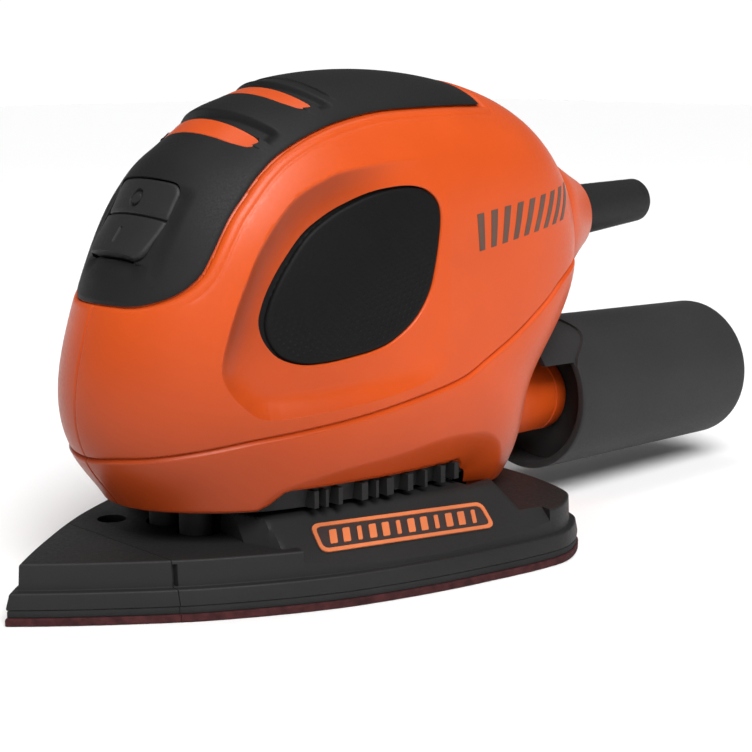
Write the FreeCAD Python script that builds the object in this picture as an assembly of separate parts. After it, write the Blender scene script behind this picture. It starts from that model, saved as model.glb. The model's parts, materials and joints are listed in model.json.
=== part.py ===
import FreeCAD, Part
import math
import os
from FreeCAD import Vector as V

# Detail palm sander, millimetres.  +Z up, the nose points to -X, the cord and
# the dust canister leave at +X.  The origin is on the motor axis, in the
# plane of the abrasive face.

# ---------------------------------------------------------------- dimensions
BASE_TIP = -79.0          # nose of the iron-shaped base
BASE_REAR = 59.0          # rear edge of the base
BASE_FRACTIONS = [0.0, 0.10, 0.25, 0.45, 0.65, 0.82, 0.93, 0.98, 1.0]
BASE_HALF_WIDTHS = [0.0, 11.80, 26.53, 39.27, 45.84, 48.58, 41.52, 24.2, 0.0]
SHEET_T = 1.7             # abrasive sheet with its loop backing
PAD_T = 1.5               # hook pad
FLANGE_TOP = 6.8          # ledge round the platen
PLATEN_TOP = 12.4
HILL_TOP = 17.6           # raised shoulders that carry the badge plates
HILL_SLOPE = 38.0         # degrees from level
HILL_FOOT = 9.0           # height of the slope's low edge on the platen wall
FACET_LINE = ((-27.0, -33.9), (27.0, -45.8))   # that edge in plan, left side
LEDGE_INSET = 0.84
WALL_INSET = 2.52
TIP_SEAM_X = -51.6        # joint of the replaceable nose tip

# the housing is a closed body of half width W(x, z), built on a closed side
# profile given by its radius from CENTRE at equal angles from -180 degrees
CENTRE_X, CENTRE_Z = 0.0, 54.0
PROFILE_R = [59.13, 63.07, 61.44, 67.92, 67.28, 67.37, 66.66, 65.61, 65.76,
             62.21, 72.02, 78.95, 75.72, 66.3, 59.06, 55.58, 54.75, 54.33,
             54.91, 55.56]
PROFILE_P = [2.274, 2.255, 2.796, 3.995, 5.081, 5.864, 5.139, 3.739, 2.696,
             2.389]
HALF_WIDTH = 33.0
SIDE_TAPER = 0.00258      # growth of the half width per 10 mm of height

HOUSING_WALL = 3.4
COVER_T = 1.6             # soft top cover let into the housing
GRIP_T = 1.3              # side grips let into the housing

MOTOR_R = 19.0
MOTOR_Z0, MOTOR_Z1 = 31.0, 84.0
SHAFT_R = 2.5
ORBIT = 0.8               # eccentricity: orbit diameter 1.6
FAN_R = 22.0
BEARING_R, BEARING_BORE, BEARING_W = 11.0, 4.0, 7.0

PORT_X, PORT_Z, PORT_TILT = 82.1, 26.0, -1.4   # shoulder of the dust spout
SPOUT_R, NOZZLE_R, SPOUT_BORE = 9.7, 8.7, 7.2
CAN_R0, CAN_R1 = 19.75, 19.0
CAN_S0, CAN_S1 = -5.2, 67.9
CAN_WALL = 2.0

GUARD_X0, GUARD_Z0, GUARD_TILT = 82.0, 72.03, 3.04
GUARD_R0, GUARD_R1, GUARD_BORE = 6.7, 5.8, 3.3
GUARD_END = 39.2

ROCKER_X, ROCKER_Z = -46.9, 81.2      # middle of the rocker on the front slope
ROCKER_N = (-0.878, 0.478)            # outward normal of the slope
ROCKER_HALF_Y = 10.3
ROCKER_UP, ROCKER_DOWN = 8.3, 9.7     # lengths above and below the crease
ROCKER_PIVOT = -5.9                   # depth of the hinge pin below the crease

os.makedirs("parts", exist_ok=True)
NODES = []


def save(name, shape):
    if isinstance(shape, (list, tuple)):
        shape = Part.makeCompound(list(shape))
    if not shape.Solids:
        raise SystemExit("no solid in " + name)
    bad = "" if shape.isValid() else "  INVALID"
    shape.exportStep("parts/" + name + ".step")
    NODES.append(name)
    b = shape.BoundBox
    print("%-24s n=%2d vol=%9.1f  x %6.1f..%6.1f y %6.1f..%6.1f z %6.1f..%6.1f%s"
          % (name, len(shape.Solids), shape.Volume, b.XMin, b.XMax, b.YMin,
             b.YMax, b.ZMin, b.ZMax, bad))


# ---------------------------------------------------------------- mathematics
def periodic(values):
    n = len(values)
    h = 2 * math.pi / n
    m = [0.0] * n
    for _ in range(80):
        for i in range(n):
            rhs = 6.0 / (h * h) * (values[i - 1] - 2 * values[i] + values[(i + 1) % n])
            m[i] = (rhs - m[i - 1] - m[(i + 1) % n]) / 4.0

    def f(a):
        s = ((a + math.pi) / h) % n
        i = int(s) % n
        t = s - int(s)
        j = (i + 1) % n
        u = 1 - t
        return (u * values[i] + t * values[j]
                + h * h / 6.0 * ((u ** 3 - u) * m[i] + (t ** 3 - t) * m[j]))
    return f


rho_f = periodic(PROFILE_R)
pow_f = periodic(PROFILE_P)


def half_width(x, z, t=0.0):
    dx, dz = x - CENTRE_X, z - CENTRE_Z
    a = math.atan2(dz, dx)
    u = math.hypot(dx, dz) / (rho_f(a) - t)
    if u >= 1:
        return 0.0
    w0 = HALF_WIDTH * (1 + SIDE_TAPER * dz / 10.0) - t
    return w0 * math.sqrt(1 - u ** pow_f(a))


def crown(t=0.0):
    # highest point of the side profile: x and z
    best = (0.0, 0.0)
    for k in range(2001):
        a = 0.6 + 1.8 * k / 2000
        r = rho_f(a) - t
        z = CENTRE_Z + r * math.sin(a)
        if z > best[1]:
            best = (CENTRE_X + r * math.cos(a), z)
    return best


CROWN_X = crown()[0]


def reach(z, sign, t=0.0):
    # start the search under the crown, where every section is wide
    start = 0.0 if z < 95.0 else CROWN_X
    lo, hi = 0.0, 95.0
    for _ in range(48):
        m = 0.5 * (lo + hi)
        dx, dz = start + sign * m - CENTRE_X, z - CENTRE_Z
        if math.hypot(dx, dz) < rho_f(math.atan2(dz, dx)) - t:
            lo = m
        else:
            hi = m
    return start + sign * lo


def level(z, t=0.0, n=26):
    x0, x1 = reach(z, -1, t), reach(z, 1, t)
    pts = []
    for k in range(n + 1):
        a = math.pi * k / n
        x = 0.5 * (x0 + x1) - 0.5 * (x1 - x0) * math.cos(a)
        w = half_width(x, z, t) if 0 < k < n else 0.0
        pts.append((x, w))
    near = [V(x, -w, z) for x, w in pts]
    far = [V(x, w, z) for x, w in reversed(pts[1:-1])]
    c = Part.BSplineCurve()
    c.interpolate(Points=near + far, PeriodicFlag=True,
                  Parameters=[k / (2.0 * n) for k in range(2 * n + 1)])
    return Part.Wire([c.toShape()])


LEVELS = [13.0, 16.0, 20.0, 25.0, 31.0, 38.0, 46.0, 54.0, 62.0, 70.0, 77.0,
          83.0, 88.5, 93.5, 97.5, 101.0, 103.8, 106.0, 107.7]


def body(t, z0=None):
    top = crown(t)[1]
    lv = [z for z in LEVELS if z < top - 2.9]
    lv += [top - 1.8, top - 0.7, top - 0.08]
    if z0 is not None:
        lv = [z0] + [z for z in lv if z > z0 + 1.5]
    return Part.makeLoft([level(z, t) for z in lv], True, False)


def pchip(xs, ys, x):
    n = len(xs)
    h = [xs[i + 1] - xs[i] for i in range(n - 1)]
    d = [(ys[i + 1] - ys[i]) / h[i] for i in range(n - 1)]
    m = [0.0] * n
    for i in range(1, n - 1):
        if d[i - 1] * d[i] > 0:
            w1, w2 = 2 * h[i] + h[i - 1], h[i] + 2 * h[i - 1]
            m[i] = (w1 + w2) / (w1 / d[i - 1] + w2 / d[i])

    def end(h0, h1, d0, d1):
        e = ((2 * h0 + h1) * d0 - h0 * d1) / (h0 + h1)
        if e * d0 <= 0:
            return 0.0
        if d0 * d1 <= 0 and abs(e) > 3 * abs(d0):
            return 3 * d0
        return e
    m[0] = end(h[0], h[1], d[0], d[1])
    m[-1] = end(h[-1], h[-2], d[-1], d[-2])
    i = 0
    while i < n - 2 and x > xs[i + 1]:
        i += 1
    t = (x - xs[i]) / h[i]
    return ((2 * t ** 3 - 3 * t ** 2 + 1) * ys[i] + (t ** 3 - 2 * t ** 2 + t) * h[i] * m[i]
            + (-2 * t ** 3 + 3 * t ** 2) * ys[i + 1] + (t ** 3 - t ** 2) * h[i] * m[i + 1])


def base_points(inset, n=44):
    pts = []
    for k in range(n + 1):
        t = k / n
        s = t * 1.2 if t < 0.5 else 0.6 + 0.4 * (1 - (1 - (t - 0.5) / 0.5) ** 2)
        pts.append((BASE_TIP + (BASE_REAR - BASE_TIP) * s,
                    pchip(BASE_FRACTIONS, BASE_HALF_WIDTHS, min(s, 1.0))))
    if inset <= 0:
        return pts
    out = []
    for i in range(len(pts)):
        a, b = pts[max(i - 1, 0)], pts[min(i + 1, len(pts) - 1)]
        tx, ty = b[0] - a[0], b[1] - a[1]
        L = math.hypot(tx, ty)
        q = (pts[i][0] + ty / L * inset, pts[i][1] - tx / L * inset)
        if q[1] > 0.05:
            out.append(q)
    a, b = out[0], out[1]
    k = a[1] / (b[1] - a[1])
    tip = (a[0] - (b[0] - a[0]) * k, 0.0)
    return [tip] + out + [(out[-1][0] + 0.05, 0.0)]


def base_wire(inset, z):
    p = base_points(inset)
    cut = p[1:-1]
    side = []
    for s in (-1, 1):
        c = Part.BSplineCurve()
        c.interpolate([V(p[0][0], 0, z)] + [V(x, s * y, z) for x, y in cut])
        side.append(c)
    a, b = side
    x, y = cut[-1]
    bow = Part.Arc(V(x, -y, z), V(p[-1][0] + 0.15, 0, z), V(x, y, z)).toShape() \
        if p[-1][0] + 0.15 > x + 0.01 else Part.makeLine(V(x, -y, z), V(x, y, z))
    b.reverse()
    return Part.Wire([a.toShape(), bow, b.toShape()])


def base_slab(i0, i1, z0, z1):
    if abs(i0 - i1) < 1e-6:
        return Part.Face(base_wire(i0, z0)).extrude(V(0, 0, z1 - z0))
    return Part.makeLoft([base_wire(i0, z0), base_wire(i1, z1)], True, True)


def box(x0, x1, y0, y1, z0, z1):
    return Part.makeBox(x1 - x0, y1 - y0, z1 - z0, V(x0, y0, z0))


def cyl(r, z0, z1, x=0.0, y=0.0):
    return Part.makeCylinder(r, z1 - z0, V(x, y, z0), V(0, 0, 1))


def ring(r1, r0, z0, z1, x=0.0, y=0.0):
    return cyl(r1, z0, z1, x, y).cut(cyl(r0, z0 - 1, z1 + 1, x, y))


def ycyl(r, x, z, y0, y1):
    return Part.makeCylinder(r, y1 - y0, V(x, y0, z), V(0, 1, 0))


def prism_y(poly, y0, y1, smooth=False):
    if smooth:
        c = Part.BSplineCurve()
        c.interpolate(Points=[V(x, y0, z) for x, z in poly], PeriodicFlag=True)
        w = Part.Wire([c.toShape()])
    else:
        w = Part.makePolygon([V(x, y0, z) for x, z in poly] + [V(poly[0][0], y0, poly[0][1])])
    return Part.Face(w).extrude(V(0, y1 - y0, 0))


def prism_z(poly, z0, z1):
    w = Part.makePolygon([V(x, y, z0) for x, y in poly] + [V(poly[0][0], poly[0][1], z0)])
    return Part.Face(w).extrude(V(0, 0, z1 - z0))


def fuse(shapes):
    r = shapes[0]
    if len(shapes) > 1:
        r = r.multiFuse(shapes[1:])
    return r.removeSplitter()


def along(shape, x, z, tilt):
    # a shape built along +X from the origin goes to (x, 0, z), tilted up
    s = shape.copy()
    s.Placement = FreeCAD.Placement(V(x, 0, z), FreeCAD.Rotation(V(0, -1, 0), tilt))
    return s


def turned(profile):
    # solid of revolution about X from (s, r) points
    w = Part.makePolygon([V(s, 0, r) for s, r in profile] + [V(profile[0][0], 0, profile[0][1])])
    return Part.Face(w).revolve(V(0, 0, 0), V(1, 0, 0), 360)


def mirror_y(s):
    return s.mirror(V(0, 0, 0), V(0, 1, 0))


# ------------------------------------------------------------------- housing
outer = body(0.0)
cover_in = body(COVER_T)
grip_in = body(GRIP_T)
inner = body(HOUSING_WALL)
skirt_out = body(HOUSING_WALL + 0.25)
skirt_in = body(HOUSING_WALL + 2.2)
clear_out = body(-0.7)
print("bodies", [round(b.Volume) for b in (outer, cover_in, grip_in, inner)], outer.isValid())

# lower edge of the housing in side view: nose lip, raised arch, rear foot
EDGE = [(-70, 19.8), (-32.6, 19.8), (-30.2, 20.8), (-27.6, 23.2), (-25.8, 23.6),
        (22.0, 22.4), (23.6, 21.0), (25.2, 16.6), (27.4, 14.4), (90, 14.4),
        (90, 125), (-70, 125)]
above = prism_y(EDGE, -60, 60)

# boss for the cord guard: a blunt cone, and its hollow
boss = along(turned([(-18, 0), (-18, 19.6), (-9.5, 19.45), (-1.5, 15.4), (6.4, 11.2),
                     (11.2, 8.6), (12.4, 7.6), (12.4, 0)]), GUARD_X0, 71.72, GUARD_TILT)
boss_in = along(turned([(-26, 0), (-26, 14.0), (-10.5, 15.2), (-3.5, 11.9), (3.5, 8.8),
                        (3.5, 0)]), GUARD_X0, 71.72, GUARD_TILT)
guard_bore = along(turned([(-20, 0), (-20, GUARD_R0), (20, GUARD_R0), (20, 0)]),
                   GUARD_X0, GUARD_Z0, GUARD_TILT)

spout = along(turned([(-27, 0), (-27, SPOUT_R + 0.5), (-4.4, SPOUT_R), (-4.4, SPOUT_R - 0.35),
                      (-3.8, SPOUT_R - 0.35), (-3.8, SPOUT_R), (-0.5, SPOUT_R), (0, SPOUT_R - 0.5),
                      (0, NOZZLE_R), (10, NOZZLE_R), (10.5, NOZZLE_R - 0.5), (10.5, 0)]),
              PORT_X, PORT_Z, PORT_TILT)
spout_bore = along(turned([(-34, 0), (-34, SPOUT_BORE), (12, SPOUT_BORE), (12, 0)]),
                   PORT_X, PORT_Z, PORT_TILT)

skin = outer.fuse(boss).fuse(spout)
hollow = inner.fuse(boss_in)
shell = skin.cut(hollow).cut(guard_bore).cut(spout_bore).common(above)

# ribs that hold the motor and the legs, level plates inside the shell
LEGS = [(-35.0, -5.4), (-35.0, 5.4), (37.0, -17.0), (37.0, 17.0)]
rib_low = inner.common(box(-60, 56, -40, 40, 33.5, 36.0))
rib_low = rib_low.cut(cyl(MOTOR_R + 2.0, 30, 40))
for lx, ly in LEGS:
    rib_low = rib_low.cut(cyl(3.5, 30, 40, lx, ly))
rib_high = inner.common(box(-60, 56, -40, 40, 76.5, 79.0))
rib_high = rib_high.cut(cyl(MOTOR_R + 2.0, 70, 85))
# gaps in the upper rib for the wires
rib_high = rib_high.cut(box(-30, -15, -9, 9, 70, 85)).cut(box(42, 60, -6, 6, 70, 85))


def rocker_frame(shape):
    # local axes: X up the slope, Z outward; Y unchanged
    nx, nz = ROCKER_N
    m = FreeCAD.Matrix(nz, 0, nx, ROCKER_X,
                       0, 1, 0, 0,
                       -nx, 0, nz, ROCKER_Z,
                       0, 0, 0, 1)
    s = shape.copy()
    s.Placement = FreeCAD.Placement(m)
    return s


def round_plate(t0, t1, hy, n0, n1, r):
    b = box(t0, t1, -hy, hy, n0, n1)
    e = [k for k in b.Edges if abs(k.tangentAt(k.FirstParameter).z) > 0.99]
    return b.makeFillet(r, e)


switch_clear = rocker_frame(box(-9.1, 8.1, -9.1, 9.1, -24, -8.4))
rocker_hole = rocker_frame(round_plate(-ROCKER_DOWN - 0.75, ROCKER_UP + 0.55,
                                       ROCKER_HALF_Y + 0.55, -12, 12, 2.6))
ribs = rib_low.fuse(rib_high.cut(switch_clear))

# soft top cover
COVER = [(-80, 63.2), (-56.2, 63.2), (-54.1, 63.1), (-52.0, 63.6), (-48.9, 64.9), (-46.6, 66.3),
         (-44.8, 67.8), (-43.1, 69.6), (-41.8, 71.5), (-38.5, 77.1), (-36.0, 80.9),
         (-33.6, 83.7), (-29.3, 88.1), (-26.2, 90.7), (-23.1, 92.9), (-17.9, 95.6),
         (-12.9, 97.6), (-7.7, 99.2), (0.3, 100.8), (8.6, 101.6), (24.0, 102.0),
         (37.6, 101.9), (38.2, 103.4), (39.4, 120), (-80, 120)]
cover_zone = prism_y(COVER, -60, 60)


def arc_slot(front, rear, kf, kr, half):
    n = 10
    f = [(front + kf * (half * i / n) ** 2, half * i / n) for i in range(-n, n + 1)]
    r = [(rear + kr * (half * i / n) ** 2, half * i / n) for i in range(n, -n - 1, -1)]
    return prism_z(f + r, 80, 125)


slots = arc_slot(-31.3, -28.3, 0.0235, 0.0190, 16.8).fuse(
    arc_slot(-16.9, -13.8, 0.0190, 0.0185, 16.8))
cover = outer.cut(cover_in).common(cover_zone).cut(rocker_hole).cut(slots)

# side grips
GRIP = [(-7.2, 84.7), (-14.7, 82.3), (-19.7, 79.9), (-24.4, 76.7), (-29.3, 71.2),
        (-32.6, 66.3), (-34.5, 62.2), (-35.2, 59.0), (-34.4, 55.4), (-31.6, 52.0),
        (-26.4, 50.1), (-20.4, 49.9), (-14.0, 50.5), (-8.6, 51.2), (-3.4, 52.5),
        (1.8, 55.2), (5.7, 58.5), (8.7, 63.0), (10.3, 68.3), (11.5, 74.0), (12.2, 79.0),
        (11.6, 82.0), (9.2, 84.4), (5.5, 85.6), (0.0, 85.7)]
grip_zone = prism_y(GRIP, -50, -12, True)
grip_left = outer.cut(grip_in).common(grip_zone)
grip_right = mirror_y(grip_left)
grip_cut = grip_zone.cut(grip_in)

shell = shell.cut(outer.cut(cover_in).common(cover_zone)).cut(rocker_hole)
shell = shell.cut(grip_cut).cut(mirror_y(grip_cut))

# screws that join the halves, driven from the right side
SCREWS = [(-44.5, 42.0), (50.0, 40.0), (58.0, 62.0), (40.0, 94.0), (-27.0, 84.0)]
bosses, screw_holes, screws = [], [], []
for sx, sz in SCREWS:
    w = half_width(sx, sz)
    b = ycyl(4.2, sx, sz, -w + 1.2, w - 1.2).common(outer)
    bosses.append(b)
    screw_holes.append(ycyl(1.6, sx, sz, -w + 5.0, w + 2))
    screw_holes.append(ycyl(2.9, sx, sz, w - 6.0, w + 6))
    head = ycyl(2.8, sx, sz, w - 6.0, w - 3.8)
    slot = box(sx - 1.7, sx + 1.7, w - 5.0, w - 3.0, sz - 0.35, sz + 0.35).fuse(
        box(sx - 0.35, sx + 0.35, w - 5.0, w - 3.0, sz - 1.7, sz + 1.7))
    screws.append(head.fuse(ycyl(1.6, sx, sz, -w + 5.0, w - 5.9)).cut(slot))
keep_out = cyl(MOTOR_R + 2.0, 30, 92).fuse(switch_clear)
solid_in = fuse(bosses).cut(keep_out)
core = shell.fuse(ribs).fuse(solid_in).cut(rocker_hole)
core = core.cut(outer.cut(cover_in).common(cover_zone))
for h in screw_holes:
    core = core.cut(h)
big = 200.0
left = core.common(box(-big, big, -big, 0, -10, big))
right = core.common(box(-big, big, 0, big, -10, big))


def largest(s, n=1):
    so = sorted(s.Solids, key=lambda k: -k.Volume)
    print("   pieces", [round(k.Volume, 1) for k in so[:6]])
    return so[0] if n == 1 else Part.makeCompound(so[:n])


save("housing_left", largest(left))
save("housing_right", largest(right))
save("top_grip_cover", largest(cover))
save("side_grip_left", largest(grip_left))
save("side_grip_right", largest(grip_right))
save("housing_screws", screws)

# black lower frame with its fins, seen in the arch between housing and platen
skirt = skirt_out.cut(skirt_in).common(box(-70, 70, -50, 50, 18.8, 31.0)).common(
    box(-70, 52, -50, 50, 0, 60))
fins = []
for fx in (-20, -14.5, -9, -3.5, 2, 7.5, 13, 18.5):
    for s in (-1, 1):
        y0, y1 = sorted((s * 24.5, s * 31.0))
        f = box(fx - 0.6, fx + 0.6, y0, y1, 18.8, 31.0).common(skirt_out)
        fins.append(f)
skirt = skirt.fuse(fins[0].multiFuse(fins[1:]))
save("dust_skirt", largest(skirt.cut(spout_bore)))

baffle = cyl(24.4, 28.4, 30.6).fuse(inner.common(box(-5, 5, -40, 40, 28.4, 30.6)).cut(
    skirt_out.cut(skirt_in)).common(box(-5, 5, -40, 40, 28.4, 30.6))).fuse(
    inner.common(box(-24.4, 24.4, -24.4, 24.4, 28.4, 30.6)))
baffle = baffle.cut(cyl(9.0, 20, 40)).cut(skirt)
save("fan_baffle", largest(baffle))

# flexible legs from the housing rib down into the platen
legs = []
for lx, ly in LEGS:
    legs.append(cyl(3.5, 7.4, 38.0, lx, ly).fuse(cyl(4.6, 36.0, 38.0, lx, ly)).fuse(
        cyl(4.6, 31.5, 33.5, lx, ly)))
save("flexible_legs", legs)

# ------------------------------------------------------------------- switch
sw = rocker_frame(box(-8.8, 7.8, -8.8, 8.8, -21.0, -9.4))
sw = sw.cut(rocker_frame(box(-7.0, 6.0, -7.0, 7.0, -13.0, -9.0)))
arms = [rocker_frame(box(-1.45, 1.45, -8.4, -7.2, -9.6, ROCKER_PIVOT).fuse(
            Part.makeCylinder(1.45, 1.2, V(0, -8.4, ROCKER_PIVOT), V(0, 1, 0)))),
        rocker_frame(box(-1.45, 1.45, 7.2, 8.4, -9.6, ROCKER_PIVOT).fuse(
            Part.makeCylinder(1.45, 1.2, V(0, 7.2, ROCKER_PIVOT), V(0, 1, 0))))]
pin_hole = rocker_frame(Part.makeCylinder(1.05, 30, V(0, -15, ROCKER_PIVOT), V(0, 1, 0)))
save("switch_body", fuse([sw] + arms).cut(pin_hole))
terms = [rocker_frame(box(t - 0.4, t + 0.4, y - 1.6, y + 1.6, -26.0, -21.0))
         for t in (-5.0, 4.0) for y in (-5.0, 5.0)]
save("switch_terminals", terms)

# rocker: two faces meeting at a crease, crowned across, with a hinge pin
CROWN_R = 24.5


def rocker_section(t, n):
    # section across the rocker: flat foot, upright sides, crowned top
    h = ROCKER_HALF_Y
    sag = CROWN_R - math.sqrt(CROWN_R ** 2 - h ** 2)
    a, b = V(t, -h, n - sag), V(t, h, n - sag)
    return Part.Wire([Part.Arc(a, V(t, 0, n), b).toShape(), Part.makeLine(b, V(t, h, -5.0)),
                      Part.makeLine(V(t, h, -5.0), V(t, -h, -5.0)), Part.makeLine(V(t, -h, -5.0), a)])


U, D = ROCKER_UP, ROCKER_DOWN
cap = Part.makeLoft([rocker_section(-D, 1.2), rocker_section(0, -0.3)], True, True).fuse(
    Part.makeLoft([rocker_section(0, -0.3), rocker_section(U, -0.6)], True, True))
cap = cap.cut(prism_y([(U + 2, -1.6), (U, -1.6), (U - 0.5, 4.0), (U + 2, 4.0)], -20, 20))
cap = cap.cut(prism_y([(-D - 2, -1.6), (-D, -1.6), (-D + 1.4, 4.0), (-D - 2, 4.0)], -20, 20))
rounded = round_plate(-D, U, ROCKER_HALF_Y, -10, 8, 2.2)
cap = cap.common(rounded).removeSplitter()
pocket = round_plate(-D + 1.3, U - 1.3, ROCKER_HALF_Y - 1.3, -9, -2.0, 1.4)
crown_in = Part.makeCylinder(CROWN_R - 1.6, 80, V(-40, 0, -0.9 - CROWN_R), V(1, 0, 0))
cap = cap.cut(pocket.common(crown_in))
web = box(-1.3, 1.3, -6.8, 6.8, ROCKER_PIVOT, -1.4).fuse(
    Part.makeCylinder(1.7, 13.6, V(0, -6.8, ROCKER_PIVOT), V(0, 1, 0))).fuse(
    Part.makeCylinder(1.0, 17.0, V(0, -8.5, ROCKER_PIVOT), V(0, 1, 0)))
cap = cap.fuse(web)
save("rocker_cap", largest(rocker_frame(cap.removeSplitter())))

# --------------------------------------------------------------------- motor
can = ring(MOTOR_R, MOTOR_R - 1.5, MOTOR_Z0, MOTOR_Z1).fuse(ring(MOTOR_R - 0.5, 6.5, MOTOR_Z0, MOTOR_Z0 + 1.5))
can = can.fuse(ring(8.0, 6.5, MOTOR_Z0, MOTOR_Z0 + 5.0))
for k in range(4):
    a = math.radians(45 + 90 * k)
    can = can.cut(Part.makeCylinder(3.0, 12, V(12 * math.cos(a), 12 * math.sin(a), MOTOR_Z0 - 2), V(0, 0, 1)))
save("motor_can", can.removeSplitter())
mags = []
for s in (0, 180):
    m = ring(MOTOR_R - 1.5, 14.3, 38.0, 70.0)
    cutter = prism_z([(0, 0), (40 * math.cos(math.radians(s + 65)), 40 * math.sin(math.radians(s + 65))),
                      (60 * math.cos(math.radians(s)), 60 * math.sin(math.radians(s))),
                      (40 * math.cos(math.radians(s - 65)), 40 * math.sin(math.radians(s - 65)))], 30, 80)
    mags.append(m.common(cutter))
save("field_magnets", mags)
rings = [ring(MOTOR_R + 2.0, MOTOR_R, 33.5, 36.0), ring(MOTOR_R + 2.0, MOTOR_R, 76.5, 79.0)]
save("motor_mount_rings", rings)

end_cap = ring(MOTOR_R, 6.5, MOTOR_Z1, MOTOR_Z1 + 3.6).fuse(ring(MOTOR_R - 1.6, 15.4, MOTOR_Z1 - 5, MOTOR_Z1))
for x in (-8.5, 8.5):
    end_cap = end_cap.fuse(cyl(2.2, MOTOR_Z1 + 3, MOTOR_Z1 + 7.0, x, 11.0))
save("motor_end_cap", end_cap.removeSplitter())


def split_bearing(R, bore, w, z0, x=0.0):
    # outer race, inner race, balls; the balls ride with the inner race
    mid = 0.5 * (R + bore)
    rb = (R - bore) * 0.24
    g = Part.makeTorus(mid, rb + 0.06, V(x, 0, z0 + w / 2), V(0, 0, 1))
    out = ring(R, mid + rb * 0.62, z0, z0 + w, x).cut(g)
    inn = ring(mid - rb * 0.62, bore, z0, z0 + w, x)
    inn = inn.cut(Part.makeTorus(mid, rb, V(x, 0, z0 + w / 2), V(0, 0, 1)))
    balls = []
    n = 7
    for k in range(n):
        a = 2 * math.pi * k / n
        balls.append(Part.makeSphere(rb, V(x + mid * math.cos(a), mid * math.sin(a), z0 + w / 2)))
    return out, inn, balls


lo = split_bearing(6.5, SHAFT_R, 4.0, MOTOR_Z0)
hi = split_bearing(6.5, SHAFT_R, 3.6, MOTOR_Z1)
pb = split_bearing(BEARING_R, BEARING_BORE, BEARING_W, 5.3, ORBIT)
save("motor_bearing_outer_races", [lo[0], hi[0]])
save("motor_bearing_inner_races", [lo[1], hi[1]])
save("motor_bearing_balls", lo[2] + hi[2])
save("platen_bearing_outer_race", pb[0])
save("platen_bearing_inner_race", pb[1])
save("platen_bearing_balls", pb[2])

holders, brushes, springs = [], [], []
for s in (-1, 1):
    def yb(a, b):
        return tuple(sorted((s * a, s * b)))
    y0, y1 = yb(7.2, 15.0)
    h = box(-3.2, 3.2, y0, y1, 72.8, MOTOR_Z1)
    y2, y3 = yb(6.0, 14.4)
    h = h.cut(box(-2.3, 2.3, y2, y3, 74.0, 79.6))
    holders.append(h)
    y4, y5 = yb(5.58, 11.4)
    brushes.append(box(-2.2, 2.2, y4, y5, 74.1, 79.5))
    # folded leaf spring behind the brush
    folds = [(-1.8, 11.65), (1.8, 12.25), (-1.8, 12.85), (1.8, 13.45), (-1.8, 14.05)]
    leaf = [prism_z([(xa, s * (ya - 0.15)), (xb, s * (yc - 0.15)), (xb, s * (yc + 0.15)),
                     (xa, s * (ya + 0.15))], 75.2, 78.4)
            for (xa, ya), (xb, yc) in zip(folds[:-1], folds[1:])]
    springs.append(fuse(leaf))
save("brush_holders", holders)
save("carbon_brushes", brushes)
save("brush_springs", springs)

save("motor_shaft", fuse([cyl(SHAFT_R, 15.0, 89.6)]))
arm = cyl(13.8, 40.0, 68.0).cut(cyl(SHAFT_R, 30, 80))
wind = []
for k in range(5):
    a = 72 * k
    sl = box(6.2, 20, -1.6, 1.6, 39, 69)
    sl.rotate(V(0, 0, 0), V(0, 0, 1), a)
    arm = arm.cut(sl)
    b = box(6.4, 13.0, -1.4, 1.4, 40.0, 68.0)
    b.rotate(V(0, 0, 0), V(0, 0, 1), a)
    wind.append(b)
save("armature_core", arm)
wind = [ring(13.0, 5.2, 36.8, 40.0), ring(13.0, 5.2, 68.0, 71.4)] + wind
save("armature_windings", fuse(wind))
com = ring(5.5, SHAFT_R, 73.2, 80.6)
for k in range(5):
    c = box(4.6, 7, -0.25, 0.25, 73, 81)
    c.rotate(V(0, 0, 0), V(0, 0, 1), 36 + 72 * k)
    com = com.cut(c)
save("commutator", com)

# --------------------------------------------- fan, counterweight, eccentric
hub = cyl(7.0, 15.0, 27.4).fuse(cyl(6.4, 13.6, 15.0)).cut(cyl(SHAFT_R, 15.0, 30))
pin = cyl(BEARING_BORE, 5.3, 13.8, ORBIT).fuse(cyl(5.6, 12.5, 13.8, ORBIT))
pin = pin.cut(cyl(1.6, 4, 12.0, ORBIT))
save("eccentric_hub", fuse([hub, pin]))
cw = cyl(17.0, 14.6, 19.6).common(box(-30, 1.5, -30, 30, 10, 25)).fuse(cyl(9.4, 14.6, 19.6)).cut(cyl(7.0, 10, 30))
save("counterweight", fuse([cw]))
fan = cyl(FAN_R, 20.2, 21.4).fuse(cyl(9.0, 20.2, 27.2)).cut(cyl(7.0, 10, 30))
bl = []
for k in range(11):
    b = box(8.6, FAN_R - 0.3, -0.6, 0.6, 21.0, 27.2)
    b.rotate(V(8.6, 0, 0), V(0, 0, 1), 24)
    b = b.common(cyl(FAN_R, 20, 28))
    b.rotate(V(0, 0, 0), V(0, 0, 1), 360.0 / 11 * k)
    bl.append(b)
save("dust_fan", fuse([fan] + bl))
scr = cyl(1.6, 4.4, 12.0, ORBIT).fuse(cyl(3.4, 3.6, 4.6, ORBIT))
save("platen_screw", scr)
save("platen_washer", ring(6.0, 1.6, 4.6, 5.3, ORBIT))

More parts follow.
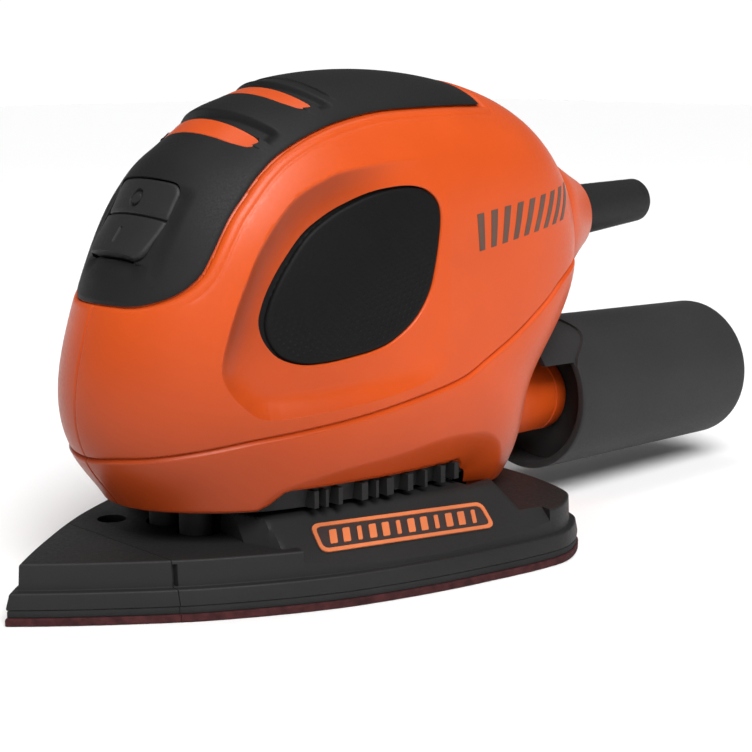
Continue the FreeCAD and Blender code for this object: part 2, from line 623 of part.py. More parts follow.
# --------------------------------------------------------------------- wires
def tube_path(points, r, radius):
    # straight runs joined by tangent arcs
    pts = [V(*p) for p in points]
    edges, here = [], pts[0]
    for i in range(1, len(pts) - 1):
        a = (pts[i - 1] - pts[i]).normalize()
        b = (pts[i + 1] - pts[i]).normalize()
        half = a.getAngle(b) / 2
        d = radius / math.tan(half)
        p0, p1 = pts[i] + a * d, pts[i] + b * d
        mid = (a + b).normalize()
        c = pts[i] + mid * (radius / math.sin(half))
        pm = c - mid * radius
        edges.append(Part.LineSegment(here, p0).toShape())
        edges.append(Part.Arc(p0, pm, p1).toShape())
        here = p1
    edges.append(Part.LineSegment(here, pts[-1]).toShape())
    w = Part.Wire(edges)
    d = (pts[1] - pts[0])
    prof = Part.Wire([Part.makeCircle(r, pts[0], d)])
    return w.makePipeShell([prof], True, True)


wires = []
for s in (-1, 1):
    wires.append(tube_path([(60, s * 3.0, 71.2), (38, s * 3.0, 86.0), (14, s * 5.0, 98.6),
                            (8.5, s * 5.0, 95.6)], 0.9, 2.4))
    wires.append(tube_path([(-8.5, s * 6.6, 95.6), (-16, s * 6.6, 99.0), (-20.95, s * 6.6, 88.0),
                            (-20.95, s * 6.6, 71.0)], 0.9, 1.3))
save("lead_wires", wires)

board = box(-12, 12, -9, 14, MOTOR_Z1 + 7.0, MOTOR_Z1 + 8.6)
save("rectifier_board", board)
capacitor = box(-6, 6, -3.4, 3.4, MOTOR_Z1 + 8.6, MOTOR_Z1 + 17.0)
save("suppression_capacitor", capacitor.makeFillet(0.8, capacitor.Edges))

# ---------------------------------------------------------------- cord entry
g = turned([(-6, 0), (-6, 8.4), (-3.4, 8.4), (-3.4, GUARD_R0), (14, GUARD_R0),
            (GUARD_END - 1.2, GUARD_R1), (GUARD_END, GUARD_R1 - 1.2), (GUARD_END, 0)])
g = g.cut(turned([(-10, 0), (-10, GUARD_BORE), (GUARD_END + 2, GUARD_BORE), (GUARD_END + 2, 0)]))
guard = along(g, GUARD_X0, GUARD_Z0, GUARD_TILT)
save("cord_guard", guard)
clampb = along(box(-17, -9, -8.5, 8.5, 3.2, 6.4).fuse(box(-15.4, -10.6, -3.0, 3.0, 2.6, 3.4)),
               GUARD_X0, GUARD_Z0, GUARD_TILT)
saddle = along(box(-17, -9, -8.5, 8.5, -6.4, -3.2), GUARD_X0, GUARD_Z0, GUARD_TILT)
cs = []
for y in (-6.2, 6.2):
    c = Part.makeCylinder(1.3, 11.0, V(-13, y, -4.6), V(0, 0, 1)).fuse(
        Part.makeCylinder(2.4, 1.6, V(-13, y, 6.4), V(0, 0, 1)))
    cs.append(along(c, GUARD_X0, GUARD_Z0, GUARD_TILT))
for c in cs:
    clampb = clampb.cut(c)
    saddle = saddle.cut(c)
save("cord_clamp", clampb)
save("cord_saddle", saddle)
save("clamp_screws", cs)

# -------------------------------------------------------------------- platen
flange = base_slab(0.25, LEDGE_INSET, SHEET_T + PAD_T, FLANGE_TOP)
upper = base_slab(WALL_INSET - 0.3, WALL_INSET, FLANGE_TOP - 0.2, PLATEN_TOP)
HX0, HX1 = -27.0, 31.0


def hill(s):
    # shoulder with a sloping face; its low edge lies on the platen wall
    t = math.radians(HILL_SLOPE)
    p0, p1 = FACET_LINE
    dx, dy = p1[0] - p0[0], p1[1] - p0[1]
    L = math.hypot(dx, dy)
    dx, dy = dx / L, dy / L
    nx, ny = -dy, dx                      # inward
    z0 = HILL_FOOT
    dep = (HILL_TOP - z0) / math.tan(t)
    low = [(p0[0] - dx * 10, p0[1] - dy * 10), (p1[0] + dx * 16, p1[1] + dy * 16)]

    def at(pt, d, z):
        return V(pt[0] + nx * d, pt[1] + ny * d, z)
    prof = [at(low[0], -6, z0 - 6 * math.tan(t)), at(low[0], dep, HILL_TOP), at(low[0], 34, HILL_TOP),
            at(low[0], 34, 2.0), at(low[0], -6, 2.0)]
    w = Part.makePolygon(prof + [prof[0]])
    solid = Part.Face(w).extrude(V(low[1][0] - low[0][0], low[1][1] - low[0][1], 0))
    # ends of the shoulder lean outward as they go down
    plan = [(-23.6, -24.0), (-21.4, -22.6), (22.0, -24.0), (27.4, -24.0), (35.5, -31.0), (33.0, -60.0), (-34.0, -60.0), (-29.6, -31.0)]
    zone = prism_z(plan, 2.0, 30.0)
    hl = solid.common(zone)
    return hl if s < 0 else mirror_y(hl)


def facet_cut(s):
    # takes the platen edge down to the sloping face
    t = math.radians(HILL_SLOPE)
    p0, p1 = FACET_LINE
    dx, dy = p1[0] - p0[0], p1[1] - p0[1]
    L = math.hypot(dx, dy)
    dx, dy = dx / L, dy / L
    nx, ny = -dy, dx
    z0 = HILL_FOOT
    a = (p0[0] - dx * 1.0, p0[1] - dy * 1.0)
    b = (p1[0] + dx * 6.5, p1[1] + dy * 6.5)
    prof = [V(a[0] - nx * 14, a[1] - ny * 14, z0 - 14 * math.tan(t)),
            V(a[0] + nx * 14, a[1] + ny * 14, z0 + 14 * math.tan(t)),
            V(a[0] - nx * 14, a[1] - ny * 14, z0 + 14 * math.tan(t))]
    w = Part.makePolygon(prof + [prof[0]])
    c = Part.Face(w).extrude(V(b[0] - a[0], b[1] - a[1], 0))
    c = c.common(box(-60, 60, -80, 0, FLANGE_TOP, 40))
    return c if s < 0 else mirror_y(c)


up = upper.fuse(hill(-1)).fuse(hill(1))
up = up.common(base_slab(WALL_INSET - 0.3, WALL_INSET, FLANGE_TOP - 0.2, 40.0))
up = up.cut(facet_cut(-1)).cut(facet_cut(1))
whole = flange.fuse(up).removeSplitter()
bore = cyl(BEARING_R, 5.3, 30, ORBIT).fuse(cyl(8.6, 0, 10, ORBIT)).fuse(cyl(19.4, PLATEN_TOP, 30, 0, 0))
whole = whole.cut(bore)
for lx, ly in LEGS:
    whole = whole.cut(cyl(4.9, 6.6, 30, lx + ORBIT, ly))
DUST = [(-24, 0), (-22, -17), (-22, 17), (3, -21.5), (3, 21.5), (25, 0), (30, -30), (30, 30)]
THROUGH = [(3, -21.5), (3, 21.5), (25, 0)]
CHANNELS = [((-24, 0), (-22, -17)), ((-24, 0), (-22, 17)), ((-22, -17), (3, -21.5)),
            ((-22, 17), (3, 21.5)), ((3, -21.5), (30, -30)), ((3, 21.5), (30, 30))]
for x, y in DUST:
    whole = whole.cut(cyl(3.4, 0, 30 if (x, y) in THROUGH else 8.6, x, y))
for (xa, ya), (xb, yb_) in CHANNELS:
    d = math.hypot(xb - xa, yb_ - ya)
    ch = box(0, d, -2.2, 2.2, 5.6, 8.6)
    ch.Placement = FreeCAD.Placement(V(xa, ya, 0), FreeCAD.Rotation(
        V(0, 0, 1), math.degrees(math.atan2(yb_ - ya, xb - xa))))
    whole = whole.cut(ch)
# room for the rear foot of the housing
whole = whole.cut(body(-1.9).common(box(21.5, 90, -60, 60, PLATEN_TOP, 60)))
tip_cut = box(-100, TIP_SEAM_X, -60, 60, -1, 40)
tongue = box(TIP_SEAM_X - 0.5, TIP_SEAM_X + 13, 9, 19, 3.4, 6.2)
tip = whole.common(tip_cut)
main = whole.cut(box(-100, TIP_SEAM_X + 0.25, -60, 60, -1, 40))
main = main.cut(box(TIP_SEAM_X - 1, TIP_SEAM_X + 13.1, 8.9, 19.1, 3.3, 6.3)).cut(
    box(TIP_SEAM_X, TIP_SEAM_X + 13.1, 8.9, 19.1, 0, 3.6))
tip = tip.fuse(tongue)
wallslot = base_slab(WALL_INSET - 0.6, WALL_INSET - 0.6, FLANGE_TOP, PLATEN_TOP - 0.9).cut(
    base_slab(WALL_INSET + 1.2, WALL_INSET + 1.2, FLANGE_TOP - 1, PLATEN_TOP + 1))
wallslot = wallslot.common(box(TIP_SEAM_X - 0.2, TIP_SEAM_X + 0.95, -60, 60, 0, 30))
main = main.cut(wallslot)
TSX, TSY = -42.5, 15.0      # screw through the tongue of the nose tip
hole = cyl(1.5, 2, 20, TSX, TSY).fuse(cyl(3.2, 9.2, 20, TSX, TSY))
main = main.cut(hole)
tip = tip.cut(cyl(1.4, 2, 20, TSX, TSY))
save("platen", largest(main))
save("nose_tip", largest(tip))
save("nose_tip_screw", fuse([cyl(1.4, 4.0, 9.4, TSX, TSY), cyl(2.9, 9.2, 10.8, TSX, TSY)]).cut(
    box(TSX - 1.8, TSX + 1.8, TSY - 0.4, TSY + 0.4, 10.0, 12)))

pad = base_slab(0.3, 0.3, SHEET_T, SHEET_T + PAD_T)
sheet = base_slab(0.0, 0.0, 0.0, SHEET_T)
for x, y in DUST:
    pad = pad.cut(cyl(3.4, -1, 9, x, y))
    sheet = sheet.cut(cyl(3.0, -1, 9, x, y))
cutl = box(-100, TIP_SEAM_X, -60, 60, -5, 40)
cutr = box(TIP_SEAM_X + 0.25, 100, -60, 60, -5, 40)
save("hook_pad", pad.common(cutr))
save("hook_pad_tip", pad.common(cutl))
save("sanding_sheet", sheet.common(cutr))
save("sanding_sheet_tip", sheet.common(cutl))


def badge(s):
    t = math.radians(HILL_SLOPE)
    p0, p1 = FACET_LINE
    dx, dy = p1[0] - p0[0], p1[1] - p0[1]
    L = math.hypot(dx, dy)
    dx, dy = dx / L, dy / L
    ux = V(dx, dy, 0)
    inn = V(-dy, dx, 0)
    uv = inn * math.cos(t) + V(0, 0, math.sin(t))
    n = ux.cross(uv)
    c = V(p0[0], p0[1], HILL_FOOT) + ux * 25.6 + uv * 5.9
    pl = prism_z([(-22.5, -3.3), (21.9, -4.4), (21.9, 3.6), (-22.1, 4.9)], 0.0, 0.5)
    pl = pl.makeFillet(2.0, [e for e in pl.Edges if abs(e.tangentAt(e.FirstParameter).z) > 0.99])
    m = FreeCAD.Matrix(ux.x, uv.x, n.x, c.x, ux.y, uv.y, n.y, c.y, ux.z, uv.z, n.z, c.z, 0, 0, 0, 1)
    pl.Placement = FreeCAD.Placement(m)
    return pl if s < 0 else mirror_y(pl)


save("badge_plate_left", badge(-1))
save("badge_plate_right", badge(1))

# ------------------------------------------------------------------ canister
def can_r(s):
    return CAN_R0 + (CAN_R1 - CAN_R0) * (s - CAN_S0) / (CAN_S1 - CAN_S0)


o = [(CAN_S0, can_r(CAN_S0)), (CAN_S1 - 1.6, can_r(CAN_S1 - 1.6)), (CAN_S1 - 0.5, CAN_R1 - 0.45),
     (CAN_S1, CAN_R1 - 1.6)]
body_can = turned([(CAN_S0, CAN_R0 - CAN_WALL)] + [(CAN_S0, can_r(CAN_S0))] + o[1:] + [(CAN_S1, 0), (CAN_S1 - 2.0, 0), (CAN_S1 - 2.0, CAN_R1 - CAN_WALL)])
lobe = turned([(-16, CAN_R0 - CAN_WALL), (-16, CAN_R0), (CAN_S0 + 0.5, CAN_R0), (CAN_S0 + 0.5, CAN_R0 - CAN_WALL)])
lobe = lobe.common(box(-30, 20, -30, 30, 10.3, 30))
shell_can = along(body_can.fuse(lobe), PORT_X, PORT_Z, PORT_TILT).cut(clear_out)
save("canister_shell", largest(shell_can.removeSplitter()))
RI = can_r(3.0) - CAN_WALL
sock = turned([(0.8, NOZZLE_R + 0.08), (0.8, RI - 0.02), (2.8, RI - 0.02), (2.8, 10.8), (12.0, 10.8), (12.0, NOZZLE_R + 0.08)])
save("canister_socket", along(sock, PORT_X, PORT_Z, PORT_TILT))
ff = turned([(13.0, 10.6), (13.0, RI - 0.12), (15.0, RI - 0.12), (15.0, 10.6)]).fuse(
    turned([(58.0, 0.0), (58.0, 12.0), (60.0, 12.0), (60.0, 0.0)]))
for k in range(4):
    b = box(14.0, 59.0, -1.0, 1.0, 10.2, 11.8)
    b.rotate(V(0, 0, 0), V(1, 0, 0), 45 + 90 * k)
    ff = ff.fuse(b)
save("filter_frame", along(ff.removeSplitter(), PORT_X, PORT_Z, PORT_TILT))
pl = []
N = 28
for k in range(N):
    for j, rr in ((0, 15.6), (0.5, 12.2)):
        a = 2 * math.pi * (k + j) / N
        pl.append((rr * math.cos(a), rr * math.sin(a)))
pin_ = []
for k in range(N):
    for j, rr in ((0, 15.0), (0.5, 11.9)):
        a = 2 * math.pi * (k + j) / N
        pin_.append((rr * math.cos(a), rr * math.sin(a)))


def xpoly(p, s0, s1):
    w = Part.makePolygon([V(s0, y, z) for y, z in p] + [V(s0, p[0][0], p[0][1])])
    return Part.Face(w).extrude(V(s1 - s0, 0, 0))


filt = xpoly(pl, 15.0, 58.0).cut(xpoly(pin_, 14.0, 59.0))
save("canister_filter", along(filt, PORT_X, PORT_Z, PORT_TILT))
print(len(NODES), "nodes")
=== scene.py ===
import bpy
import json
import math
import time
import numpy as np
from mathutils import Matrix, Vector

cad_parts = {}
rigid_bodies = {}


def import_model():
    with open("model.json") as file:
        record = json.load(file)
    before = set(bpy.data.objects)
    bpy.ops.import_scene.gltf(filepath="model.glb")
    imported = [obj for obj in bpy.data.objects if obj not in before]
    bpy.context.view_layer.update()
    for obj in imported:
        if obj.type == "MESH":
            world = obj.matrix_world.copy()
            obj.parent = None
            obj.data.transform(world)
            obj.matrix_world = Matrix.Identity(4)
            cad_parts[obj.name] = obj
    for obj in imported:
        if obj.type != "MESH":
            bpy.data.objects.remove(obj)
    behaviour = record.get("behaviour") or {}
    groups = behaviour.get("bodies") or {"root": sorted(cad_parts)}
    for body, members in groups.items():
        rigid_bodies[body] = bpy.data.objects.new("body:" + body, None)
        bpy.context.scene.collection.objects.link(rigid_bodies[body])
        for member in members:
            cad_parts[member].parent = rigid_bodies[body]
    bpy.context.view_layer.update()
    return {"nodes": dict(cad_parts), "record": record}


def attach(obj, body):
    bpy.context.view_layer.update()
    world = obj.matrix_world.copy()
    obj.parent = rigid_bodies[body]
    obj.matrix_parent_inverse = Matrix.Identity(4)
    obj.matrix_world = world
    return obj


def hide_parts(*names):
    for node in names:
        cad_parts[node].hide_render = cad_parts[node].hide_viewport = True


for old in list(bpy.data.objects):
    bpy.data.objects.remove(old)
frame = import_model()
MM = 0.001
T0 = time.time()
scene = bpy.context.scene

# ------------------------------------------------------------------ dimensions
# millimetres, in the frame of the CAD part
CX, CZ = 0.0, 54.0
PROFILE_R = np.array([59.13, 63.07, 61.44, 67.92, 67.28, 67.37, 66.66, 65.61, 65.76, 62.21,
                      72.02, 78.95, 75.72, 66.3, 59.06, 55.58, 54.75, 54.33, 54.91, 55.56])
PROFILE_P = np.array([2.274, 2.255, 2.796, 3.995, 5.081, 5.864, 5.139, 3.739, 2.696, 2.389])
HALF_WIDTH, SIDE_TAPER = 33.0, 0.00258

EDGE = [(-70, 19.8), (-32.6, 19.8), (-30.2, 20.8), (-27.6, 23.2), (-25.8, 23.6),
        (22.0, 22.4), (23.6, 21.0), (25.2, 16.6), (27.4, 14.4), (90, 14.4), (90, 125), (-70, 125)]
COVER = [(-80, 63.2), (-56.2, 63.2), (-54.1, 63.1), (-52.0, 63.6), (-48.9, 64.9), (-46.6, 66.3),
         (-44.8, 67.8), (-43.1, 69.6), (-41.8, 71.5), (-38.5, 77.1), (-36.0, 80.9),
         (-33.6, 83.7), (-29.3, 88.1), (-26.2, 90.7), (-23.1, 92.9), (-17.9, 95.6),
         (-12.9, 97.6), (-7.7, 99.2), (0.3, 100.8), (8.6, 101.6), (24.0, 102.0),
         (37.6, 101.9), (38.2, 103.4), (39.4, 120), (-80, 120)]
GRIP = [(-7.2, 84.7), (-14.7, 82.3), (-19.7, 79.9), (-24.4, 76.7), (-29.3, 71.2),
        (-32.6, 66.3), (-34.5, 62.2), (-35.2, 59.0), (-34.4, 55.4), (-31.6, 52.0),
        (-26.4, 50.1), (-20.4, 49.9), (-14.0, 50.5), (-8.6, 51.2), (-3.4, 52.5),
        (1.8, 55.2), (5.7, 58.5), (8.7, 63.0), (10.3, 68.3), (11.5, 74.0), (12.2, 79.0),
        (11.6, 82.0), (9.2, 84.4), (5.5, 85.6), (0.0, 85.7)]
DISH = [(-9.7, 89.8), (-16.5, 87.8), (-22.4, 85.0), (-26.4, 81.8), (-30.0, 77.9), (-33.4, 73.2),
        (-36.3, 67.7), (-39.0, 61.8), (-41.4, 55.0), (-42.3, 50.3), (-41.1, 46.6), (-38.6, 43.4),
        (-35.2, 40.6), (-30.0, 39.6), (-16.3, 40.4), (-0.6, 41.8), (10.0, 44.0), (20.0, 50.0),
        (27.0, 60.0), (28.0, 74.0), (22.0, 86.0), (8.0, 91.0)]
WAIST = [(-58.7, 31.4), (-57.0, 32.2), (-52.2, 32.8), (-44.2, 34.1), (-36.1, 35.4), (-30.0, 36.0),
         (-16.3, 37.4), (-0.6, 39.2), (17.9, 42.1), (27.3, 45.9), (37.1, 50.5), (48.3, 56.9),
         (54.0, 60.6), (60.0, 63.2), (67.0, 65.2), (80.0, 66.5)]
ARCH = [(-34.0, 20.6), (-28.1, 24.9), (-15.8, 27.3), (0.1, 28.6), (12.1, 29.9), (20.2, 30.0),
        (29.2, 28.8), (35.2, 24.2), (38.0, 17.0)]
BASE_TIP, BASE_REAR = -79.0, 59.0
BASE_F = [0.0, 0.10, 0.25, 0.45, 0.65, 0.82, 0.93, 0.98, 1.0]
BASE_W = [0.0, 11.80, 26.53, 39.27, 45.84, 48.58, 41.52, 24.2, 0.0]
TIP_SEAM = -51.6
HILL_SLOPE, HILL_FOOT, HILL_TOP = 38.0, 9.0, 17.6
FACET = ((-27.0, -33.9), (27.0, -45.8))
ROCKER_O, ROCKER_N = (-46.9, 81.2), (-0.878, 0.478)
PORT, PORT_TILT = (82.1, 26.0), -1.4
GUARD, GUARD_TILT = (82.0, 72.03), 3.04


# ------------------------------------------------------------------ arithmetic
def smooth(x, a, b):
    t = np.clip((x - a) / (b - a), 0, 1)
    return t * t * (3 - 2 * t)


def periodic(values):
    n = len(values)
    h = 2 * math.pi / n
    A = np.zeros((n, n))
    rhs = np.zeros(n)
    for i in range(n):
        A[i, i] = 4
        A[i, i - 1] += 1
        A[i, (i + 1) % n] += 1
        rhs[i] = 6 / h ** 2 * (values[i - 1] - 2 * values[i] + values[(i + 1) % n])
    m = np.linalg.solve(A, rhs)

    def f(a):
        s = np.mod((np.asarray(a) + math.pi) / h, n)
        i = np.minimum(s.astype(int), n - 1)
        t = s - i
        j = (i + 1) % n
        u = 1 - t
        return u * values[i] + t * values[j] + h * h / 6 * ((u ** 3 - u) * m[i] + (t ** 3 - t) * m[j])
    return f


rho_f, pow_f = periodic(PROFILE_R), periodic(PROFILE_P)


def half_width(x, z, t=0.0):
    dx, dz = np.asarray(x, float) - CX, np.asarray(z, float) - CZ
    a = np.arctan2(dz, dx)
    u = np.hypot(dx, dz) / (rho_f(a) - t)
    w0 = HALF_WIDTH * (1 + SIDE_TAPER * dz / 10) - t
    return w0 * np.sqrt(np.clip(1 - np.clip(u, 0, 1) ** pow_f(a), 0, 1))


def body_value(P):
    dx, dz = P[:, 0] - CX, P[:, 2] - CZ
    a = np.arctan2(dz, dx)
    u = np.hypot(dx, dz) / rho_f(a)
    w0 = HALF_WIDTH * (1 + SIDE_TAPER * dz / 10)
    return u ** pow_f(a) + (P[:, 1] / w0) ** 2


def body_normal(P):
    g = np.zeros_like(P)
    for k in range(3):
        d = np.zeros(3)
        d[k] = 0.02
        g[:, k] = body_value(P + d) - body_value(P - d)
    n = np.linalg.norm(g, axis=1, keepdims=True)
    return g / np.maximum(n, 1e-12)


def line_distance(x, z, pts, closed=False):
    """Distance to a polyline and which side: positive on its left."""
    p = np.array(pts, float)
    q = np.roll(p, -1, 0) if closed else p[1:]
    p = p if closed else p[:-1]
    best = np.full(x.shape, 1e9)
    side = np.zeros(x.shape)
    for (x0, z0), (x1, z1) in zip(p, q):
        ex, ez = x1 - x0, z1 - z0
        L2 = ex * ex + ez * ez
        t = np.clip(((x - x0) * ex + (z - z0) * ez) / L2, 0, 1)
        d = np.hypot(x - x0 - t * ex, z - z0 - t * ez)
        c = ex * (z - z0) - ez * (x - x0)
        closer = d < best - 1e-9
        best = np.where(closer, d, best)
        side = np.where(closer, np.sign(c), side)
    return best, side


def inside(x, z, pts):
    p = np.array(pts, float)
    q = np.roll(p, -1, 0)
    r = np.zeros(x.shape, bool)
    for (x0, z0), (x1, z1) in zip(p, q):
        if z0 == z1:
            continue
        hit = ((z0 > z) != (z1 > z)) & (x < (x1 - x0) * (z - z0) / (z1 - z0) + x0)
        r ^= hit
    return r


def region(x, z, pts):
    """Signed distance to a closed outline, negative inside."""
    d, _ = line_distance(x, z, pts, True)
    return np.where(inside(x, z, pts), -d, d)


def grow(pts, d):
    """Closed outline moved outward by d (inward when negative)."""
    p = np.array(pts, float)
    a, b = np.roll(p, 1, 0), np.roll(p, -1, 0)
    area = 0.5 * np.sum(p[:, 0] * b[:, 1] - b[:, 0] * p[:, 1])
    t1, t2 = p - a, b - p
    t1 /= np.linalg.norm(t1, axis=1, keepdims=True)
    t2 /= np.linalg.norm(t2, axis=1, keepdims=True)
    n1 = np.stack([t1[:, 1], -t1[:, 0]], 1)
    n2 = np.stack([t2[:, 1], -t2[:, 0]], 1)
    n = n1 + n2
    k = np.maximum(np.sum(n * n, 1, keepdims=True), 0.6)
    s = 1 if area > 0 else -1
    return p + s * d * 2 * n / k


def rounded_outline(pts, per=6):
    """Closed smooth outline through the points."""
    p = np.array(pts, float)
    n = len(p)
    out = []
    for i in range(n):
        a, b, c, d = p[i - 1], p[i], p[(i + 1) % n], p[(i + 2) % n]
        for k in range(per):
            t = k / per
            out.append(0.5 * ((2 * b) + (c - a) * t + (2 * a - 5 * b + 4 * c - d) * t * t
                              + (3 * b - a - 3 * c + d) * t ** 3))
    return np.array(out)


def open_smooth(pts, per=6):
    p = np.array(pts, float)
    p = np.vstack([2 * p[0] - p[1], p, 2 * p[-1] - p[-2]])
    out = []
    for i in range(1, len(p) - 2):
        a, b, c, d = p[i - 1], p[i], p[i + 1], p[i + 2]
        for k in range(per):
            t = k / per
            out.append(0.5 * ((2 * b) + (c - a) * t + (2 * a - 5 * b + 4 * c - d) * t * t
                              + (3 * b - a - 3 * c + d) * t ** 3))
    out.append(p[-2])
    return np.array(out)


# the grips lie sunk in the dish, so their outline is drawn in at the front
GRIP = [(x + 2.9 * max(0.0, min(1.0, (14.0 - x) / 48.0)) ** 0.75, z) for x, z in GRIP]
GRIP_S = rounded_outline(GRIP, 4)
DISH_S = rounded_outline(DISH, 3)
WAIST_S = open_smooth(WAIST, 4)
ARCH_S = open_smooth(ARCH, 4)
COVER_LINE = open_smooth(COVER[1:22], 3)
COVER_FINE = np.vstack([[COVER[0]], COVER_LINE, COVER[22:]])


# ------------------------------------------------------------------ mesh tools
def to_object(name, verts, faces, scale=MM):
    me = bpy.data.meshes.new(name)
    v = np.asarray(verts, float) * scale
    if isinstance(faces, np.ndarray):
        n = faces.shape[1]
        me.vertices.add(len(v))
        me.vertices.foreach_set("co", v.astype(np.float32).ravel())
        me.loops.add(faces.size)
        me.loops.foreach_set("vertex_index", faces.astype(np.int32).ravel())
        me.polygons.add(len(faces))
        me.polygons.foreach_set("loop_start", np.arange(0, faces.size, n, dtype=np.int32))
        me.update(calc_edges=True)
    else:
        me.from_pydata([tuple(p) for p in v], [], [tuple(f) for f in faces])
        me.update()
    me.validate()
    o = bpy.data.objects.new(name, me)
    scene.collection.objects.link(o)
    return o


def drop(*objs):
    for o in objs:
        me = o.data
        bpy.data.objects.remove(o)
        if me is not None and me.users == 0:
            bpy.data.meshes.remove(me)


def open_edges(o):
    me = o.data
    n = np.zeros(len(me.loops), np.int32)
    me.loops.foreach_get("edge_index", n)
    return int((np.bincount(n, minlength=len(me.edges)) != 2).sum())


def combine(a, b, how, keep=False):
    """Boolean of two closed meshes: how is DIFFERENCE, UNION or INTERSECT."""
    for q in (a, b):
        if open_edges(q):
            print("OPEN", q.name, open_edges(q), "edges, for", a.name, how, b.name)
    m = a.modifiers.new("b", "BOOLEAN")
    m.operation = how
    m.object = b
    m.solver = "MANIFOLD"
    bpy.context.view_layer.update()
    dg = bpy.context.evaluated_depsgraph_get()
    me = bpy.data.meshes.new_from_object(a.evaluated_get(dg))
    if len(me.polygons) == 0 or len(me.polygons) == len(a.data.polygons):
        print("manifold solver gave", len(me.polygons), "of", len(a.data.polygons), a.name, how, b.name)
        a.modifiers.clear()
        m = a.modifiers.new("b", "BOOLEAN")
        m.operation = how
        m.object = b
        m.solver = "EXACT"
        bpy.context.view_layer.update()
        dg = bpy.context.evaluated_depsgraph_get()
        me = bpy.data.meshes.new_from_object(a.evaluated_get(dg))
        print("exact solver used for", a.name, b.name, len(me.polygons))
    if len(me.polygons) == 0:
        raise SystemExit("nothing left of " + a.name + " after " + how + " with " + b.name)
    a.modifiers.clear()
    old = a.data
    a.data = me
    me.name = a.name
    bpy.data.meshes.remove(old)
    if not keep:
        drop(b)
    return a


def copy_of(o, name):
    c = bpy.data.objects.new(name, o.data.copy())
    scene.collection.objects.link(c)
    return c


def finish_mesh(o, angle=32.0, weld=0.004):
    import bmesh
    bm = bmesh.new()
    bm.from_mesh(o.data)
    bmesh.ops.remove_doubles(bm, verts=bm.verts, dist=weld * MM)
    bmesh.ops.dissolve_degenerate(bm, edges=bm.edges, dist=weld * MM * 0.5)
    bm.to_mesh(o.data)
    bm.free()
    me = o.data
    me.polygons.foreach_set("use_smooth", np.ones(len(me.polygons), bool))
    me.set_sharp_from_angle(angle=math.radians(angle))
    me.update()
    return o


def prism(name, poly, a, b, axis="y"):
    """Closed straight prism of a plane outline."""
    p = [tuple(map(float, q)) for q in poly]
    area = 0.5 * sum(p[i][0] * p[(i + 1) % len(p)][1] - p[(i + 1) % len(p)][0] * p[i][1] for i in range(len(p)))
    if area < 0:
        p = p[::-1]
    n = len(p)
    ring = tuple(range(n))
    if axis == "z":
        v = [(x, y, a) for x, y in p] + [(x, y, b) for x, y in p]
    elif axis == "y":
        v = [(x, b, z) for x, z in p] + [(x, a, z) for x, z in p]
    else:
        v = [(a, y, z) for y, z in p] + [(b, y, z) for y, z in p]
    f = [ring[::-1], tuple(i + n for i in ring)]
    for i in range(n):
        j = (i + 1) % n
        f.append((i, j, j + n, i + n))
    return to_object(name, v, [tuple(t) for t in f])


def block(name, x0, x1, y0, y1, z0, z1):
    return prism(name, [(x0, y0), (x1, y0), (x1, y1), (x0, y1)], z0, z1, "z")


def spline_profile(pts, step=0.6):
    """Resamples the (s, r) polyline along its straight segments; keeps the end points."""
    out = [np.array(pts[0], float)]
    for i in range(1, len(pts)):
        a, b = np.array(pts[i - 1], float), np.array(pts[i], float)
        n = max(1, int(np.linalg.norm(b - a) / step))
        for k in range(1, n + 1):
            out.append(a + (b - a) * k / n)
    return np.array(out)


def turned(name, profile, origin, tilt, seg=160):
    """Solid of revolution about a tilted X axis; the profile starts and ends on the axis."""
    pr = np.array(profile, float)
    t = math.radians(tilt)
    ax = np.array([math.cos(t), 0, math.sin(t)])
    up = np.array([-math.sin(t), 0, math.cos(t)])
    o = np.array([origin[0], 0, origin[1]])
    ang = np.linspace(0, 2 * math.pi, seg, endpoint=False)
    verts, rows = [], []
    for s, r in pr:
        if r < 1e-6:
            rows.append([len(verts)])
            verts.append(o + ax * s)
        else:
            rows.append(list(range(len(verts), len(verts) + seg)))
            for a in ang:
                verts.append(o + ax * s + r * (np.array([0, 1, 0]) * math.sin(a) + up * math.cos(a)))
    faces = []
    n = len(rows)
    closed = pr[0][1] > 1e-6
    for i in range(n if closed else n - 1):
        a, b = rows[i], rows[(i + 1) % n]
        for k in range(seg):
            k2 = (k + 1) % seg
            if len(a) == 1 and len(b) == 1:
                continue
            if len(a) == 1:
                faces.append((a[0], b[k], b[k2]))
            elif len(b) == 1:
                faces.append((a[k2], a[k], b[0]))
            else:
                faces.append((a[k], b[k], b[k2]))
                faces.append((a[k], b[k2], a[k2]))
    ob = to_object(name, verts, faces)
    return face_out(ob)


def face_out(o):
    """Turns a closed mesh the right way out by the sign of its volume."""
    me = o.data
    me.calc_loop_triangles()
    v = np.zeros(len(me.vertices) * 3)
    me.vertices.foreach_get("co", v)
    v = v.reshape(-1, 3)
    t = np.zeros(len(me.loop_triangles) * 3, np.int32)
    me.loop_triangles.foreach_get("vertices", t)
    t = t.reshape(-1, 3)
    vol = np.sum(np.einsum("ij,ij->i", v[t[:, 0]], np.cross(v[t[:, 1]], v[t[:, 2]])))
    if vol < 0:
        me.flip_normals()
    return o


# -------------------------------------------------- the housing's curved surface
K_TH, K_S = 720, 400
_th = np.linspace(-math.pi, math.pi, K_TH, endpoint=False)
_uf = 1 - (1 - np.linspace(0, 1, 1600)) ** 2
_rho, _pw = rho_f(_th), pow_f(_th)


